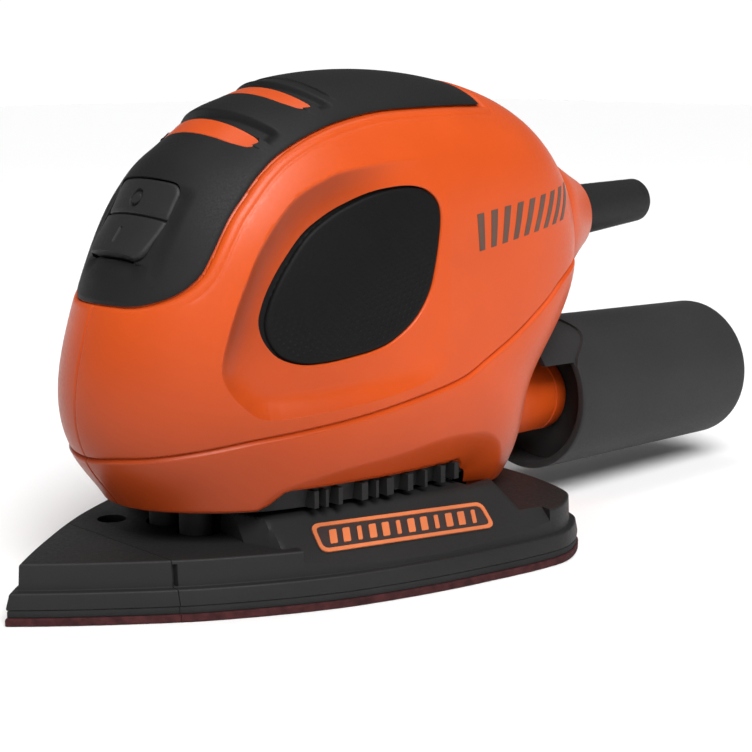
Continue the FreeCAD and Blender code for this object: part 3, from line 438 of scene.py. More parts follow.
def arc_table(t=0.0):
    U = np.zeros((K_TH, K_S))
    Vt = np.zeros((K_TH, K_S))
    for i in range(K_TH):
        r = _rho[i] - t
        v = np.sqrt(np.clip(1 - _uf ** _pw[i], 0, 1))
        w = (HALF_WIDTH - t) * v
        s = np.concatenate([[0], np.cumsum(np.hypot(np.diff(_uf * r), np.diff(w)))])
        s /= s[-1]
        q = np.linspace(0, 1, K_S)
        U[i] = np.interp(q, s, _uf)
        Vt[i] = np.interp(q, s, v)
    return U, Vt


_U, _V = arc_table()


def table(T, th, s):
    a = np.mod((th + math.pi) / (2 * math.pi) * K_TH, K_TH)
    i = np.minimum(a.astype(int), K_TH - 1)
    fa = a - i
    i2 = (i + 1) % K_TH
    b = np.clip(s, 0, 1) * (K_S - 1)
    j = np.minimum(b.astype(int), K_S - 2)
    fb = b - j
    return ((1 - fa) * ((1 - fb) * T[i, j] + fb * T[i, j + 1])
            + fa * ((1 - fb) * T[i2, j] + fb * T[i2, j + 1]))


def place(par, t=0.0):
    """Points of the near half (y <= 0) from (theta, s)."""
    th, s = par[:, 0], par[:, 1]
    u, v = table(_U, th, s), table(_V, th, s)
    p = pow_f(th)
    flat = u < 0.86
    v1 = np.sqrt(np.clip(1 - u ** p, 0, 1))
    u2 = np.clip(1 - v ** 2, 0, 1) ** (1 / p)
    u = np.where(flat, u, u2)
    v = np.where(flat, v1, v)
    v = np.where(s >= 1 - 1e-9, 0.0, v)
    u = np.where(s >= 1 - 1e-9, 1.0, u)
    r = u * (rho_f(th) - t)
    x, z = CX + r * np.cos(th), CZ + r * np.sin(th)
    y = -(HALF_WIDTH * (1 + SIDE_TAPER * (z - CZ) / 10) - t) * v
    return np.stack([x, y, z], 1)


def refine(par, tri, size, passes):
    for _ in range(passes):
        P = place(par)
        n = len(P)
        e = np.vstack([tri[:, [0, 1]], tri[:, [1, 2]], tri[:, [2, 0]]])
        e.sort(axis=1)
        key = e[:, 0].astype(np.int64) * n + e[:, 1]
        uk, inv = np.unique(key, return_inverse=True)
        a, b = (uk // n).astype(int), (uk % n).astype(int)
        L = np.linalg.norm(P[a] - P[b], axis=1)
        mark = L > size(0.5 * (P[a] + P[b])) * 1.25
        if not mark.any():
            break
        m = len(tri)
        te = np.stack([inv[:m], inv[m:2 * m], inv[2 * m:]], 1)
        longest = te[np.arange(m), np.argmax(L[te], axis=1)]
        for _k in range(12):
            need = mark[te].any(axis=1) & ~mark[longest]
            if not need.any():
                break
            mark[longest[need]] = True
        idx = np.full(len(uk), -1)
        idx[mark] = n + np.arange(mark.sum())
        ta, tb, sa, sb = par[a[mark], 0], par[b[mark], 0], par[a[mark], 1], par[b[mark], 1]
        ta = np.where(sa < 1e-9, tb, ta)
        tb = np.where(sb < 1e-9, ta, tb)
        d = tb - ta
        d = np.where(d > math.pi, d - 2 * math.pi, np.where(d < -math.pi, d + 2 * math.pi, d))
        par = np.vstack([par, np.stack([ta + 0.5 * d, 0.5 * (sa + sb)], 1)])
        M = idx[te]
        cnt = (M >= 0).sum(axis=1)
        out = [tri[cnt == 0]]
        k = cnt == 3
        t, q = tri[k], M[k]
        out += [np.stack([t[:, 0], q[:, 0], q[:, 2]], 1), np.stack([q[:, 0], t[:, 1], q[:, 1]], 1),
                np.stack([q[:, 2], q[:, 1], t[:, 2]], 1), np.stack([q[:, 0], q[:, 1], q[:, 2]], 1)]
        for r in range(3):
            t = np.roll(tri, -r, axis=1)
            q = np.roll(M, -r, axis=1)
            k = (cnt == 1) & (q[:, 0] >= 0)
            out += [np.stack([t[k, 0], q[k, 0], t[k, 2]], 1), np.stack([q[k, 0], t[k, 1], t[k, 2]], 1)]
            k = (cnt == 2) & (q[:, 2] < 0)
            tt, qq = t[k], q[k]
            Pn = place(par)
            d1 = np.linalg.norm(Pn[tt[:, 0]] - Pn[qq[:, 1]], axis=1)
            d2 = np.linalg.norm(Pn[qq[:, 0]] - Pn[tt[:, 2]], axis=1)
            out.append(np.stack([qq[:, 0], tt[:, 1], qq[:, 1]], 1))
            c = d1 < d2
            t1, q1 = tt[c], qq[c]
            out += [np.stack([t1[:, 0], q1[:, 0], q1[:, 1]], 1), np.stack([t1[:, 0], q1[:, 1], t1[:, 2]], 1)]
            t2, q2 = tt[~c], qq[~c]
            out += [np.stack([t2[:, 0], q2[:, 0], t2[:, 2]], 1), np.stack([q2[:, 0], q2[:, 1], t2[:, 2]], 1)]
        tri = np.vstack(out)
    return par, tri


def star(name, depth=None, size=None, coarse=3.0, passes=6, t=0.0):
    """Closed body of the housing's outside shape, pushed in by depth(P) along its normal."""
    nt = int(2 * math.pi * 64 / coarse)
    ns = int(88 / coarse)
    par = [(0.0, 0.0)]
    for j in range(1, ns + 1):
        for i in range(nt):
            par.append((-math.pi + 2 * math.pi * (i + 0.5 * (j % 2)) / nt, j / ns))
    par = np.array(par)
    tri = [(0, 1 + i, 1 + (i + 1) % nt) for i in range(nt)]
    for j in range(1, ns):
        a0, b0 = 1 + (j - 1) * nt, 1 + j * nt
        for i in range(nt):
            i2 = (i + 1) % nt
            if j % 2:
                tri += [(a0 + i, b0 + i, b0 + i2), (a0 + i, b0 + i2, a0 + i2)]
                # odd rows start half a step on
            else:
                tri += [(a0 + i, b0 + i, a0 + i2), (a0 + i2, b0 + i, b0 + i2)]
    tri = np.array(tri)
    if size is not None:
        par, tri = refine(par, tri, size, passes)
    P = place(par, t)
    if depth is not None:
        N = body_normal(place(par))
        mid = par[:, 1] >= 1 - 1e-9
        N[mid, 1] = 0
        P = P - N * depth(place(par))[:, None]
        P[mid, 1] = 0
    n = len(P)
    far = np.arange(n)
    moved = np.where(par[:, 1] < 1 - 1e-9)[0]
    far[moved] = n + np.arange(len(moved))
    Q = P[moved] * np.array([1, -1, 1])
    V = np.vstack([P, Q])
    F = np.vstack([tri, far[tri][:, ::-1]])
    o = to_object(name, V, F)
    return face_out(o)


# ------------------------------------------------------- depths on the housing
def dish_strength(x, z):
    a = np.clip((14.0 - x) / 48.0, 0, 1)
    return 3.8 * a ** 0.75 * (1 - 0.25 * smooth(z, 70, 90))


def dish_depth(x, z):
    dO = -region(x, z, DISH_S)
    dG = np.maximum(region(x, z, GRIP_S), 0)
    reach = np.minimum(4.6, 0.80 * (np.clip(dO, 0, None) + dG) + 0.3)
    t = np.clip(dO / reach, 0, 1)
    g = 1 - (1 - t) ** 1.9
    g = np.where(dO <= 0, 0, g)
    return dish_strength(x, z) * g


def shell_depth(P):
    x, y, z = P[:, 0], np.abs(P[:, 1]), P[:, 2]
    side = smooth(y, 6, 14)
    d = dish_depth(x, z) * side
    # bead beside the top cover
    c = region(x, z, COVER_FINE)
    d += np.where(c < 1.15, 1.05 * (1 - np.sqrt(np.clip(1 - (1 - np.clip(c, 0, 1.15) / 1.15) ** 2, 0, 1))), 0)
    d += 0.16 * np.exp(-((c - 2.0) / 0.28) ** 2) * smooth(z, 63.4, 66)
    # rounded rim round the grip
    g = region(x, z, GRIP_S)
    d += np.where(g < 0.6, 0.55 * (1 - np.sqrt(np.clip(1 - (1 - np.clip(g, 0, 0.6) / 0.6) ** 2, 0, 1))), 0) * side
    # waist line: a groove, and the lower part a little proud of the upper
    w, s = line_distance(x, z, WAIST_S)
    low = s < 0
    ws = np.where(low, w, -w)
    fade = 1 - smooth(x, 62, 72)
    d += fade * (0.62 * np.exp(-(ws / 0.30) ** 2))
    d -= fade * 0.42 * smooth(ws, 0.0, 0.75) * (1 - smooth(ws, 2.0, 13.0))
    # the panel above the arch leans in
    a, sa = line_distance(x, z, ARCH_S)
    below = np.where(sa < 0, a, 0) * smooth(x, -36, -30) * (1 - smooth(x, 33, 39)) * (z < 31)
    d += 0.34 * np.maximum(below - 0.5 * (1 - np.exp(-below / 0.5)), 0)
    # lower rim
    e = -region(x, z, EDGE)
    e = np.where(z > 30, 9, e)
    d += np.where(e < 0.7, 0.6 * (1 - np.sqrt(np.clip(1 - (1 - np.clip(e, 0, 0.7) / 0.7) ** 2, 0, 1))), 0)
    # parting line of the two halves
    d += 0.22 * np.exp(-(y / 0.22) ** 2) * (c > 0)
    return d


def feature_size(*ds):
    d = ds[0]
    for q in ds[1:]:
        d = np.minimum(d, q)
    return d


FINE = 0.27


def shell_size(P):
    x, y, z = P[:, 0], np.abs(P[:, 1]), P[:, 2]
    c = region(x, z, COVER_FINE)
    g = np.abs(region(x, z, GRIP_S))
    w, _ = line_distance(x, z, WAIST_S)
    w = np.where(x > 72, 9, w)
    a, _ = line_distance(x, z, ARCH_S)
    e = np.abs(region(x, z, EDGE))
    q = np.where(x < -30, y, 9.0)
    h = np.where(x < 8, np.abs(region(x, z, DISH_S) + 0.3) + 0.5, 9)
    d = feature_size(np.abs(c - 0.9), g, w, a + 0.6, e, q, h)
    big = np.where(c < -1.5, 3.5, 1.5)
    return np.clip(FINE + 0.4 * (d - 1.0), FINE, big)


SLOT_1 = (-31.2, -27.2, 0.0160, 0.0125, 16.2)
SLOT_2 = (-16.8, -12.7, 0.0145, 0.0125, 16.2)


def slot_terms(P, sl):
    f0, r0, kf, kr, half = sl
    y = P[:, 1]
    xf, xr = f0 + kf * y * y, r0 + kr * y * y
    return P[:, 0] - xf, P[:, 0] - xr, np.abs(y), half


def rocker_local(P):
    nx, nz = ROCKER_N
    dx, dz = P[:, 0] - ROCKER_O[0], P[:, 2] - ROCKER_O[1]
    t = nz * dx - nx * dz
    n = nx * dx + nz * dz
    return t, P[:, 1], n


def cover_depth(P):
    x, z = P[:, 0], P[:, 2]
    c = -region(x, z, COVER_FINE)
    d = 0.17 + np.where(c < 1.3, 0.95 * (1 - np.sqrt(np.clip(1 - (1 - np.clip(c, 0, 1.3) / 1.3) ** 2, 0, 1))), 0)
    for sl, amp in ((SLOT_1, 1.0), (SLOT_2, 0.85)):
        df, dr, ay, half = slot_terms(P, sl)
        end = 1 - smooth(ay, half - 6, half + 3.0)
        # the skin sinks towards the front lip of the slot
        d += amp * 0.95 * end * smooth(df, -9.0, -0.2) * (df < 0.4)
        # behind it a dark hollow runs up to the next field
        wall = 1 - smooth(ay, half - 0.5, half + 2.2)
        d += amp * 1.55 * wall * (dr > -0.6) * (1 - smooth(dr, 0.6 + 0.055 * ay, 1.7 + 0.075 * ay))
    # faint step behind the second slot
    y = P[:, 1]
    k = P[:, 0] - (-7.4 + 0.0105 * y * y)
    d += 0.35 * smooth(k, -3.5, -0.05) * (k < 0) * (1 - smooth(np.abs(y), 13, 18))
    # shallow pocket round the rocker
    t, ry, n = rocker_local(P)
    q = np.maximum(np.abs(ry) - 10.85, np.maximum(t - 8.85, -9.7 - 0.75 - t))
    d += (0.70 - 0.35 * (1 - smooth(t, -6, 1))) * (1 - smooth(q, 0.0, 3.4)) * (q < 4) * smooth(t, -16, -6) * (1 - smooth(t, 5.5, 8.6)) * (n > -8)
    # hollow under the lower end of the rocker
    d += 0.85 * smooth(t, -15.0, -10.6) * (t < -10.2) * (1 - smooth(np.abs(ry), 6.5, 11.0)) * (n > -8)
    return d


def cover_size(P):
    x, z = P[:, 0], P[:, 2]
    c = region(x, z, COVER_FINE)
    big = np.where(c > 1.0, 4.5, 1.3)
    d = np.abs(c + 0.4)
    for sl in (SLOT_1, SLOT_2):
        df, dr, ay, half = slot_terms(P, sl)
        q = np.maximum(np.maximum(-df - 1.0, dr - 2.0), ay - half - 1.5)
        d = np.minimum(d, np.where(z > 70, np.maximum(q, 0) + 0.4, 9))
    y = P[:, 1]
    k = np.abs(P[:, 0] - (-7.4 + 0.0105 * y * y))
    d = np.minimum(d, np.where((z > 90) & (np.abs(y) < 18), k, 9))
    t, ry, n = rocker_local(P)
    q = np.maximum(np.abs(ry) - 14.5, np.maximum(t - 10.0, -12.0 - t))
    d = np.minimum(d, np.where(n > -8, np.maximum(q, 0) + 1.0, 9))
    return np.clip(FINE + 0.4 * (d - 0.8), FINE, big)


def grip_pattern(x, z):
    """Fine raised nubs, strongest along the lower and rear sides."""
    a, b = x * 0.966 + z * 0.259, -x * 0.259 + z * 0.966
    p, q = 1.55, 1.15
    row = np.floor(b / q)
    aa = np.mod(a + 0.5 * p * np.mod(row, 2), p) - 0.5 * p
    bb = b - (row + 0.5) * q
    nub = smooth(1 - np.hypot(aa / 0.50, bb / 0.36), 0.0, 0.75)
    low = smooth(-(z - 61.5) + 0.30 * (x + 10), -9, 9)
    return nub * (0.25 + 0.75 * low)


def grip_depth(P):
    x, z = P[:, 0], P[:, 2]
    g = -region(x, z, GRIP_S)
    d = dish_strength(x, z) * smooth(np.abs(P[:, 1]), 6, 14) + 0.10
    d += np.where(g < 1.0, 0.75 * (1 - np.sqrt(np.clip(1 - (1 - np.clip(g, 0, 1.0) / 1.0) ** 2, 0, 1))), 0)
    d -= 0.17 * grip_pattern(x, z) * smooth(g, 0.9, 1.6)
    return d


def grip_size(P):
    x, z = P[:, 0], P[:, 2]
    g = region(x, z, GRIP_S)
    return np.clip((0.22) + 0.5 * (g - 0.5), 0.22, 5.0)


# ------------------------------------------------------------------- materials
def nodes_of(m):
    m.use_nodes = True
    nt = m.node_tree
    nt.nodes.clear()
    out = nt.nodes.new("ShaderNodeOutputMaterial")
    b = nt.nodes.new("ShaderNodeBsdfPrincipled")
    nt.links.new(b.outputs[0], out.inputs[0])
    return nt, b


def ramp(nt, src, a, b, lo, hi):
    r = nt.nodes.new("ShaderNodeMapRange")
    r.inputs["From Min"].default_value = a
    r.inputs["From Max"].default_value = b
    r.inputs["To Min"].default_value = lo
    r.inputs["To Max"].default_value = hi
    nt.links.new(src, r.inputs["Value"])
    return r.outputs["Result"]


def moulded(name, colour, vary=0.06, rough=0.45, rvar=0.08, grain=900.0, bump=0.10, dist=0.00005,
            metallic=0.0, spec=0.5, blotch=60.0, detail=3.0, warm=None):
    m = bpy.data.materials.new(name)
    nt, b = nodes_of(m)
    tc = nt.nodes.new("ShaderNodeTexCoord")
    n1 = nt.nodes.new("ShaderNodeTexNoise")
    n1.inputs["Scale"].default_value = blotch
    n1.inputs["Detail"].default_value = 4
    nt.links.new(tc.outputs["Object"], n1.inputs["Vector"])
    n2 = nt.nodes.new("ShaderNodeTexNoise")
    n2.inputs["Scale"].default_value = grain
    n2.inputs["Detail"].default_value = detail
    nt.links.new(tc.outputs["Object"], n2.inputs["Vector"])
    mix = nt.nodes.new("ShaderNodeMix")
    mix.data_type = "RGBA"
    c = np.array(colour)
    d = np.array(warm) if warm is not None else c * (1 - vary * 2)
    mix.inputs["A"].default_value = (*np.clip(c * (1 + vary), 0, 1), 1)
    mix.inputs["B"].default_value = (*np.clip(d, 0, 1), 1)
    nt.links.new(ramp(nt, n1.outputs["Fac"], 0.3, 0.7, 0, 1), mix.inputs["Factor"])
    nt.links.new(mix.outputs["Result"], b.inputs["Base Color"])
    nt.links.new(ramp(nt, n2.outputs["Fac"], 0.3, 0.7, rough - rvar, rough + rvar), b.inputs["Roughness"])
    bp = nt.nodes.new("ShaderNodeBump")
    bp.inputs["Strength"].default_value = bump
    bp.inputs["Distance"].default_value = dist
    nt.links.new(n2.outputs["Fac"], bp.inputs["Height"])
    nt.links.new(bp.outputs["Normal"], b.inputs["Normal"])
    b.inputs["Metallic"].default_value = metallic
    b.inputs["Specular IOR Level"].default_value = spec
    return m


ORANGE = moulded("shell_orange", (0.585, 0.073, 0.0075), 0.02, 0.38, 0.05, 1400, 0.10, 0.00003, spec=0.30,
                 warm=(0.555, 0.067, 0.0065))
# painted shade: the base colour is darkened towards the lower front, where the lighting leaves the housing dark, and
# darkened further where the vertex attribute "shade" marks the dish
ont = ORANGE.node_tree
obs = next(n for n in ont.nodes if n.type == "BSDF_PRINCIPLED")
osrc = obs.inputs["Base Color"].links[0].from_socket
otc = ont.nodes.new("ShaderNodeTexCoord")
osx = ont.nodes.new("ShaderNodeSeparateXYZ")
ont.links.new(otc.outputs["Object"], osx.inputs[0])
oma = ont.nodes.new("ShaderNodeMath")
oma.operation = "MULTIPLY_ADD"
oma.inputs[1].default_value = 0.35
ont.links.new(osx.outputs["X"], oma.inputs[0])
ont.links.new(osx.outputs["Z"], oma.inputs[2])
osc = ont.nodes.new("ShaderNodeVectorMath")
osc.operation = "SCALE"
ont.links.new(osrc, osc.inputs[0])
# painted shade of the dish, read from the vertex attribute
oat = ont.nodes.new("ShaderNodeAttribute")
oat.attribute_name = "shade"
osb = ont.nodes.new("ShaderNodeMath")
osb.operation = "SUBTRACT"
osb.inputs[0].default_value = 1.0
ont.links.new(oat.outputs["Fac"], osb.inputs[1])
omu = ont.nodes.new("ShaderNodeMath")
omu.operation = "MULTIPLY"
# painted shade: 0.44 of the colour low at the front, rising to the full colour higher up and further back
ont.links.new(ramp(ont, oma.outputs[0], 0.005, 0.050, 0.44, 1.0), omu.inputs[0])
ont.links.new(osb.outputs[0], omu.inputs[1])
ont.links.new(omu.outputs[0], osc.inputs["Scale"])
ont.links.new(osc.outputs[0], obs.inputs["Base Color"])
BLACK_SOFT = moulded("soft_grip", (0.0085, 0.0085, 0.0088), 0.06, 0.60, 0.06, 2600, 0.30, 0.00004, spec=0.22)
BLACK_TREAD = moulded("tread_grip", (0.0045, 0.0045, 0.0046), 0.06, 0.56, 0.06, 2600, 0.25, 0.00003, spec=0.13)
BLACK_ROCKER = moulded("black_plastic", (0.0165, 0.0165, 0.017), 0.05, 0.52, 0.05, 1800, 0.10, 0.00002, spec=0.25)
PLATEN_M = moulded("platen_plastic", (0.0155, 0.0155, 0.0155), 0.06, 0.56, 0.06, 1500, 0.16, 0.00004, spec=0.20)
CAN_M = moulded("canister_black", (0.025, 0.025, 0.0255), 0.05, 0.58, 0.05, 1600, 0.12, 0.00003, spec=0.20)
RUBBER_M = moulded("rubber_black", (0.0115, 0.0115, 0.012), 0.06, 0.60, 0.05, 1500, 0.18, 0.00003, spec=0.24)
SKIRT_M = moulded("black_plastic_inner", (0.012, 0.012, 0.0125), 0.05, 0.55, 0.05, 1200, 0.12, 0.00003, spec=0.35)
PAD_M = moulded("hook_pad", (0.018, 0.018, 0.018), 0.12, 0.85, 0.08, 3200, 0.7, 0.00012, spec=0.2)
SHEET_M = moulded("abrasive", (0.050, 0.0125, 0.0135), 0.25, 0.85, 0.08, 4200, 0.8, 0.00012, spec=0.2, blotch=500)
COPPER_PRINT = moulded("badge_print", (0.62, 0.165, 0.055), 0.10, 0.38, 0.06, 700, 0.05, 0.00002, spec=0.6)
BADGE_M = moulded("badge", (0.030, 0.019, 0.017), 0.08, 0.45, 0.05, 900, 0.06, 0.00002, spec=0.45)
PRINT_M = moulded("side_print", (0.105, 0.052, 0.036), 0.12, 0.5, 0.06, 2200, 0.06, 0.00002, spec=0.4)
STEEL_M = moulded("steel", (0.52, 0.52, 0.53), 0.06, 0.32, 0.10, 500, 0.08, 0.00002, metallic=1.0)
DARK_STEEL_M = moulded("dark_steel", (0.13, 0.13, 0.14), 0.10, 0.45, 0.10, 500, 0.15, 0.00003, metallic=0.9)
MAGNET_M = moulded("magnet", (0.075, 0.075, 0.08), 0.10, 0.6, 0.1, 800, 0.25, 0.00004, metallic=0.2)
COPPER_M = moulded("copper", (0.60, 0.22, 0.09), 0.12, 0.32, 0.08, 700, 0.15, 0.00003, metallic=1.0)
BRASS_M = moulded("brass", (0.62, 0.42, 0.15), 0.08, 0.3, 0.08, 500, 0.08, 0.00002, metallic=1.0)
CARBON_M = moulded("carbon", (0.02, 0.02, 0.02), 0.2, 0.6, 0.1, 900, 0.2, 0.00003)
ZINC_M = moulded("zinc", (0.38, 0.39, 0.41), 0.08, 0.42, 0.1, 600, 0.2, 0.00004, metallic=1.0)
INNER_M = moulded("internal_plastic", (0.045, 0.045, 0.05), 0.08, 0.5, 0.06, 900, 0.12, 0.00003)
WHITE_M = moulded("white_plastic", (0.62, 0.60, 0.55), 0.04, 0.5, 0.06, 900, 0.1, 0.00003)
BOARD_M = moulded("board", (0.03, 0.12, 0.05), 0.12, 0.4, 0.08, 700, 0.1, 0.00002)
FILTER_M = moulded("filter_media", (0.62, 0.59, 0.52), 0.10, 0.9, 0.05, 2600, 0.6, 0.0001, spec=0.2)

SLOT_MATERIAL = {
    "shell_orange": ORANGE, "black_plastic": SKIRT_M, "soft_grip": BLACK_SOFT, "tread_grip": BLACK_TREAD,
    "platen_plastic": PLATEN_M, "badge": BADGE_M, "steel": STEEL_M, "dark_steel": DARK_STEEL_M,
    "magnet": MAGNET_M, "copper": COPPER_M, "brass": BRASS_M, "carbon": CARBON_M, "zinc": ZINC_M,
    "internal_plastic": INNER_M, "white_plastic": WHITE_M, "board": BOARD_M, "rubber_black": RUBBER_M,
    "hook_pad": PAD_M, "abrasive": SHEET_M, "canister_black": CAN_M, "filter_media": FILTER_M}
for part in frame["record"]["subparts"]:
    o = frame["nodes"][part["node"]]
    o.data.materials.clear()
    o.data.materials.append(SLOT_MATERIAL[part["material_slot"]])


def paint(o, m):
    o.data.materials.clear()
    o.data.materials.append(m)
    o.data.polygons.foreach_set("material_index", np.zeros(len(o.data.polygons), np.int32))
    return o


def give(o, body, slot, *nodes):
    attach(o, body)
    if nodes:
        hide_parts(*nodes)
    return o


# --------------------------------------------------------------- housing shell
def grown(poly, d):
    return [tuple(q) for q in grow(poly, d)]


shell = star("shell", shell_depth, shell_size)
print("shell", len(shell.data.vertices), round(time.time() - T0, 1))


def hollow_depth(P):
    return 3.4 + 2.3 * smooth(P[:, 2], 32, 38)


hollow = star("hollow", hollow_depth, None, 3.0)
boss_profile = [(-18, 0), (-18, 19.0), (-14, 19.5), (-9.5, 19.2), (-5.5, 17.7), (-1.5, 15.5), (2.4, 13.35),
                (6.4, 11.25), (9.2, 9.85), (10.6, 9.15), (11.5, 8.75), (12.1, 8.25), (12.35, 7.6),
                (12.3, 7.0), (11.6, 6.72), (5.0, 6.72), (5.0, 0)]
boss = turned("boss", boss_profile, (GUARD[0], 71.72), GUARD_TILT, 200)
spout = turned("spout", [(-27, 0), (-27, 10.1), (-4.6, 9.7), (-4.45, 9.45), (-4.1, 9.35), (-3.75, 9.45),
                         (-3.6, 9.7), (-0.7, 9.7), (-0.2, 9.55), (0.0, 9.1), (0.02, 8.68), (9.8, 8.68),
                         (10.4, 8.3), (10.4, 7.3), (-30, 7.3), (-30, 0)], PORT, PORT_TILT, 160)
spout_core = turned("spout_core", [(-33, 0), (-33, 7.2), (12, 7.2), (12, 0)], PORT, PORT_TILT, 96)
shell = combine(shell, boss, "UNION")
shell = combine(shell, spout, "UNION")
shell = combine(shell, hollow, "DIFFERENCE")
shell = combine(shell, spout_core, "DIFFERENCE")
shell = combine(shell, turned("bore", [(-22, 0), (-22, 6.75), (5.5, 6.75), (5.5, 0)], GUARD, GUARD_TILT, 96),
                "DIFFERENCE")
shell = combine(shell, prism("edge_zone", EDGE, -60, 60), "INTERSECT")

cover_zone = prism("cover_zone", COVER_FINE, -60, 60)
under_cover = star("under_cover", lambda P: np.full(len(P), 2.35), None, 2.2)
tool = combine(copy_of(cover_zone, "cover_tool"), under_cover, "DIFFERENCE", keep=True)
shell = combine(shell, tool, "DIFFERENCE")


def pocket_depth(P):
    return dish_strength(P[:, 0], P[:, 2]) + 1.25


under_grip = star("under_grip", pocket_depth, None, 2.2)
for s in (-1, 1):
    g = prism("grip_zone", GRIP_S, -60 if s < 0 else 12, -12 if s < 0 else 60)
    g = combine(g, under_grip, "DIFFERENCE", keep=True)
    shell = combine(shell, g, "DIFFERENCE")


def rocker_place(o):
    nx, nz = ROCKER_N
    me = o.data
    v = np.zeros(len(me.vertices) * 3)
    me.vertices.foreach_get("co", v)
    v = v.reshape(-1, 3)
    w = np.stack([ROCKER_O[0] * MM + nz * v[:, 0] + nx * v[:, 2], v[:, 1],
                  ROCKER_O[1] * MM - nx * v[:, 0] + nz * v[:, 2]], 1)
    me.vertices.foreach_set("co", w.astype(np.float32).ravel())
    me.update()
    return face_out(o)


def round_rect(x0, x1, hy, r, n=10):
    out = []
    for cx, cy, a0 in ((x1 - r, hy - r, 0), (x0 + r, hy - r, 90), (x0 + r, -hy + r, 180), (x1 - r, -hy + r, 270)):
        for k in range(n + 1):
            a = math.radians(a0 + 90 * k / n)
            out.append((cx + r * math.cos(a), cy + r * math.sin(a)))
    return out


def soften(pts, r=0.9, n=6):
    p = np.array(pts, float)
    out = []
    m = len(p)
    for i in range(m):
        a, b, c = p[i - 1], p[i], p[(i + 1) % m]
        u, v = a - b, c - b
        lu, lv = np.linalg.norm(u), np.linalg.norm(v)
        d = min(r, 0.45 * lu, 0.45 * lv)
        q0, q1 = b + u / lu * d, b + v / lv * d
        for k in range(n + 1):
            t = k / n
            out.append((1 - t) ** 2 * q0 + 2 * t * (1 - t) * b + t * t * q1)
    return np.array(out)


def rocker_outline(g, low):
    """Rocker in its own plane: round upper corners, sides drawn in towards the lower end."""
    return soften([(8.25 + g, -10.25 - g), (8.25 + g, 10.25 + g), (-2.0, 10.25 + g),
                   (-9.65 - low, 8.7 + g), (-9.65 - low, -8.7 - g), (-2.0, -10.25 - g)], 2.8, 10)


hole = rocker_place(prism("rocker_hole", rocker_outline(0.24, 0.55), -12, 12, "z"))
shell = combine(shell, hole, "DIFFERENCE", keep=True)

halves = []
for s, name in ((-1, "shell_left_skin"), (1, "shell_right_skin")):
    half = block("half", -200, 200, -200 if s < 0 else 0.03, -0.03 if s < 0 else 200, -50, 300)
    c = combine(copy_of(shell, name), half, "INTERSECT")
    halves.append(c)
drop(shell)
for (sx, sz) in [(-44.5, 42.0), (50.0, 40.0), (58.0, 62.0), (40.0, 94.0), (-27.0, 84.0)]:
    w = float(half_width(sx, sz))
    ring = [(sx + 3.0 * math.cos(a), sz + 3.0 * math.sin(a)) for a in np.linspace(0, 2 * math.pi, 40, endpoint=False)]
    halves[1] = combine(halves[1], prism("screw_hole", ring, w - 6.0, w + 6), "DIFFERENCE")
def dish_shade(o):
    """Painted shade on the front of the dished field, kept as a vertex attribute."""
    me = o.data
    v = np.zeros(len(me.vertices) * 3)
    me.vertices.foreach_get("co", v)
    v = v.reshape(-1, 3) / MM
    x, y, z = v[:, 0], np.abs(v[:, 1]), v[:, 2]
    d = -region(x, z, DISH_S)
    k = 0.50 * smooth(d, -0.1, 0.9) * (1 - 0.40 * smooth(d, 2.5, 9.0))
    k *= smooth(z, 43, 60) * (1 - smooth(x, -16, 6)) * smooth(y, 6, 14)
    at = me.attributes.new("shade", "FLOAT", "POINT")
    at.data.foreach_set("value", k.astype(np.float32))


for c, body_node in zip(halves, ("housing_left", "housing_right")):
    finish_mesh(c, 30)
    dish_shade(c)
    paint(c, ORANGE)
    give(c, "housing", "shell_orange", body_node)
print("halves", [len(c.data.polygons) for c in halves], round(time.time() - T0, 1))

# fins of the lower frame, seen in the arch between housing and platen
V, F = [], []
for x0, x1 in ((-20.3, -19.1), (-17.6, -16.8), (-14.4, -13.2), (-8.4, -6.6), (-4.6, -3.8), (-1.6, 0.4),
               (4.4, 6.0), (9.6, 10.4), (14.8, 16.2), (19.4, 20.8)):
    for s in (-1, 1):
        w = min(float(half_width(x0, 22.0)), float(half_width(x1, 22.0)))
        lo_y, hi_y = sorted((s * (w - 4.2), s * (w - 1.3)))
        o_ = block("fin", x0, x1, lo_y, hi_y, 18.9, 22.6)
        base = len(V)
        V += [tuple(np.array(v.co) / MM) for v in o_.data.vertices]
        F += [tuple(i + base for i in p.vertices) for p in o_.data.polygons]
        drop(o_)
fins = to_object("arch_fins", V, F)
finish_mesh(fins, 30)
paint(fins, PLATEN_M)
give(fins, "housing", "black_plastic")

# ---------------------------------------------------------------- top cover
cover = star("cover_skin", cover_depth, cover_size)
cover_in = star("cover_in", lambda P: np.full(len(P), 2.25), None, 2.2)
cover = combine(cover, cover_in, "DIFFERENCE")
cz = prism("cover_zone_in", grown(COVER_FINE, -0.10), -60, 60)
cover = combine(cover, cz, "INTERSECT")
cover = combine(cover, hole, "DIFFERENCE", keep=True)


def slot_outline(sl, g=0.0):
    """Curved slot with round ends, in plan."""
    f0, r0, kf, kr, half = sl
    out = []
    n = 40
    rad = 0.5 * (r0 - f0)
    for side in (1, -1):
        for k in range(-n, n + 1):
            y = side * half * k / n
            e = np.clip((half - abs(y)) / rad, 0, 1)
            w = math.sqrt(max(1 - (1 - e) ** 2, 0.0))
            f, r = f0 + kf * y * y, r0 + kr * y * y
            m, hw = 0.5 * (f + r), max(0.5 * (r - f) * w + g * w, 0.0)
            if abs(k) == n:
                if side == 1:
                    out.append((m, y + math.copysign(g, y)))
                continue
            out.append((m - side * hw, y))
    return out


for i, sl in enumerate((SLOT_1, SLOT_2)):
    cover = combine(cover, prism("slot", slot_outline(sl), 80, 125, "z"), "DIFFERENCE")
finish_mesh(cover, 34)
paint(cover, BLACK_SOFT)
give(cover, "housing", "soft_grip", "top_grip_cover")
print("cover", len(cover.data.polygons), round(time.time() - T0, 1))

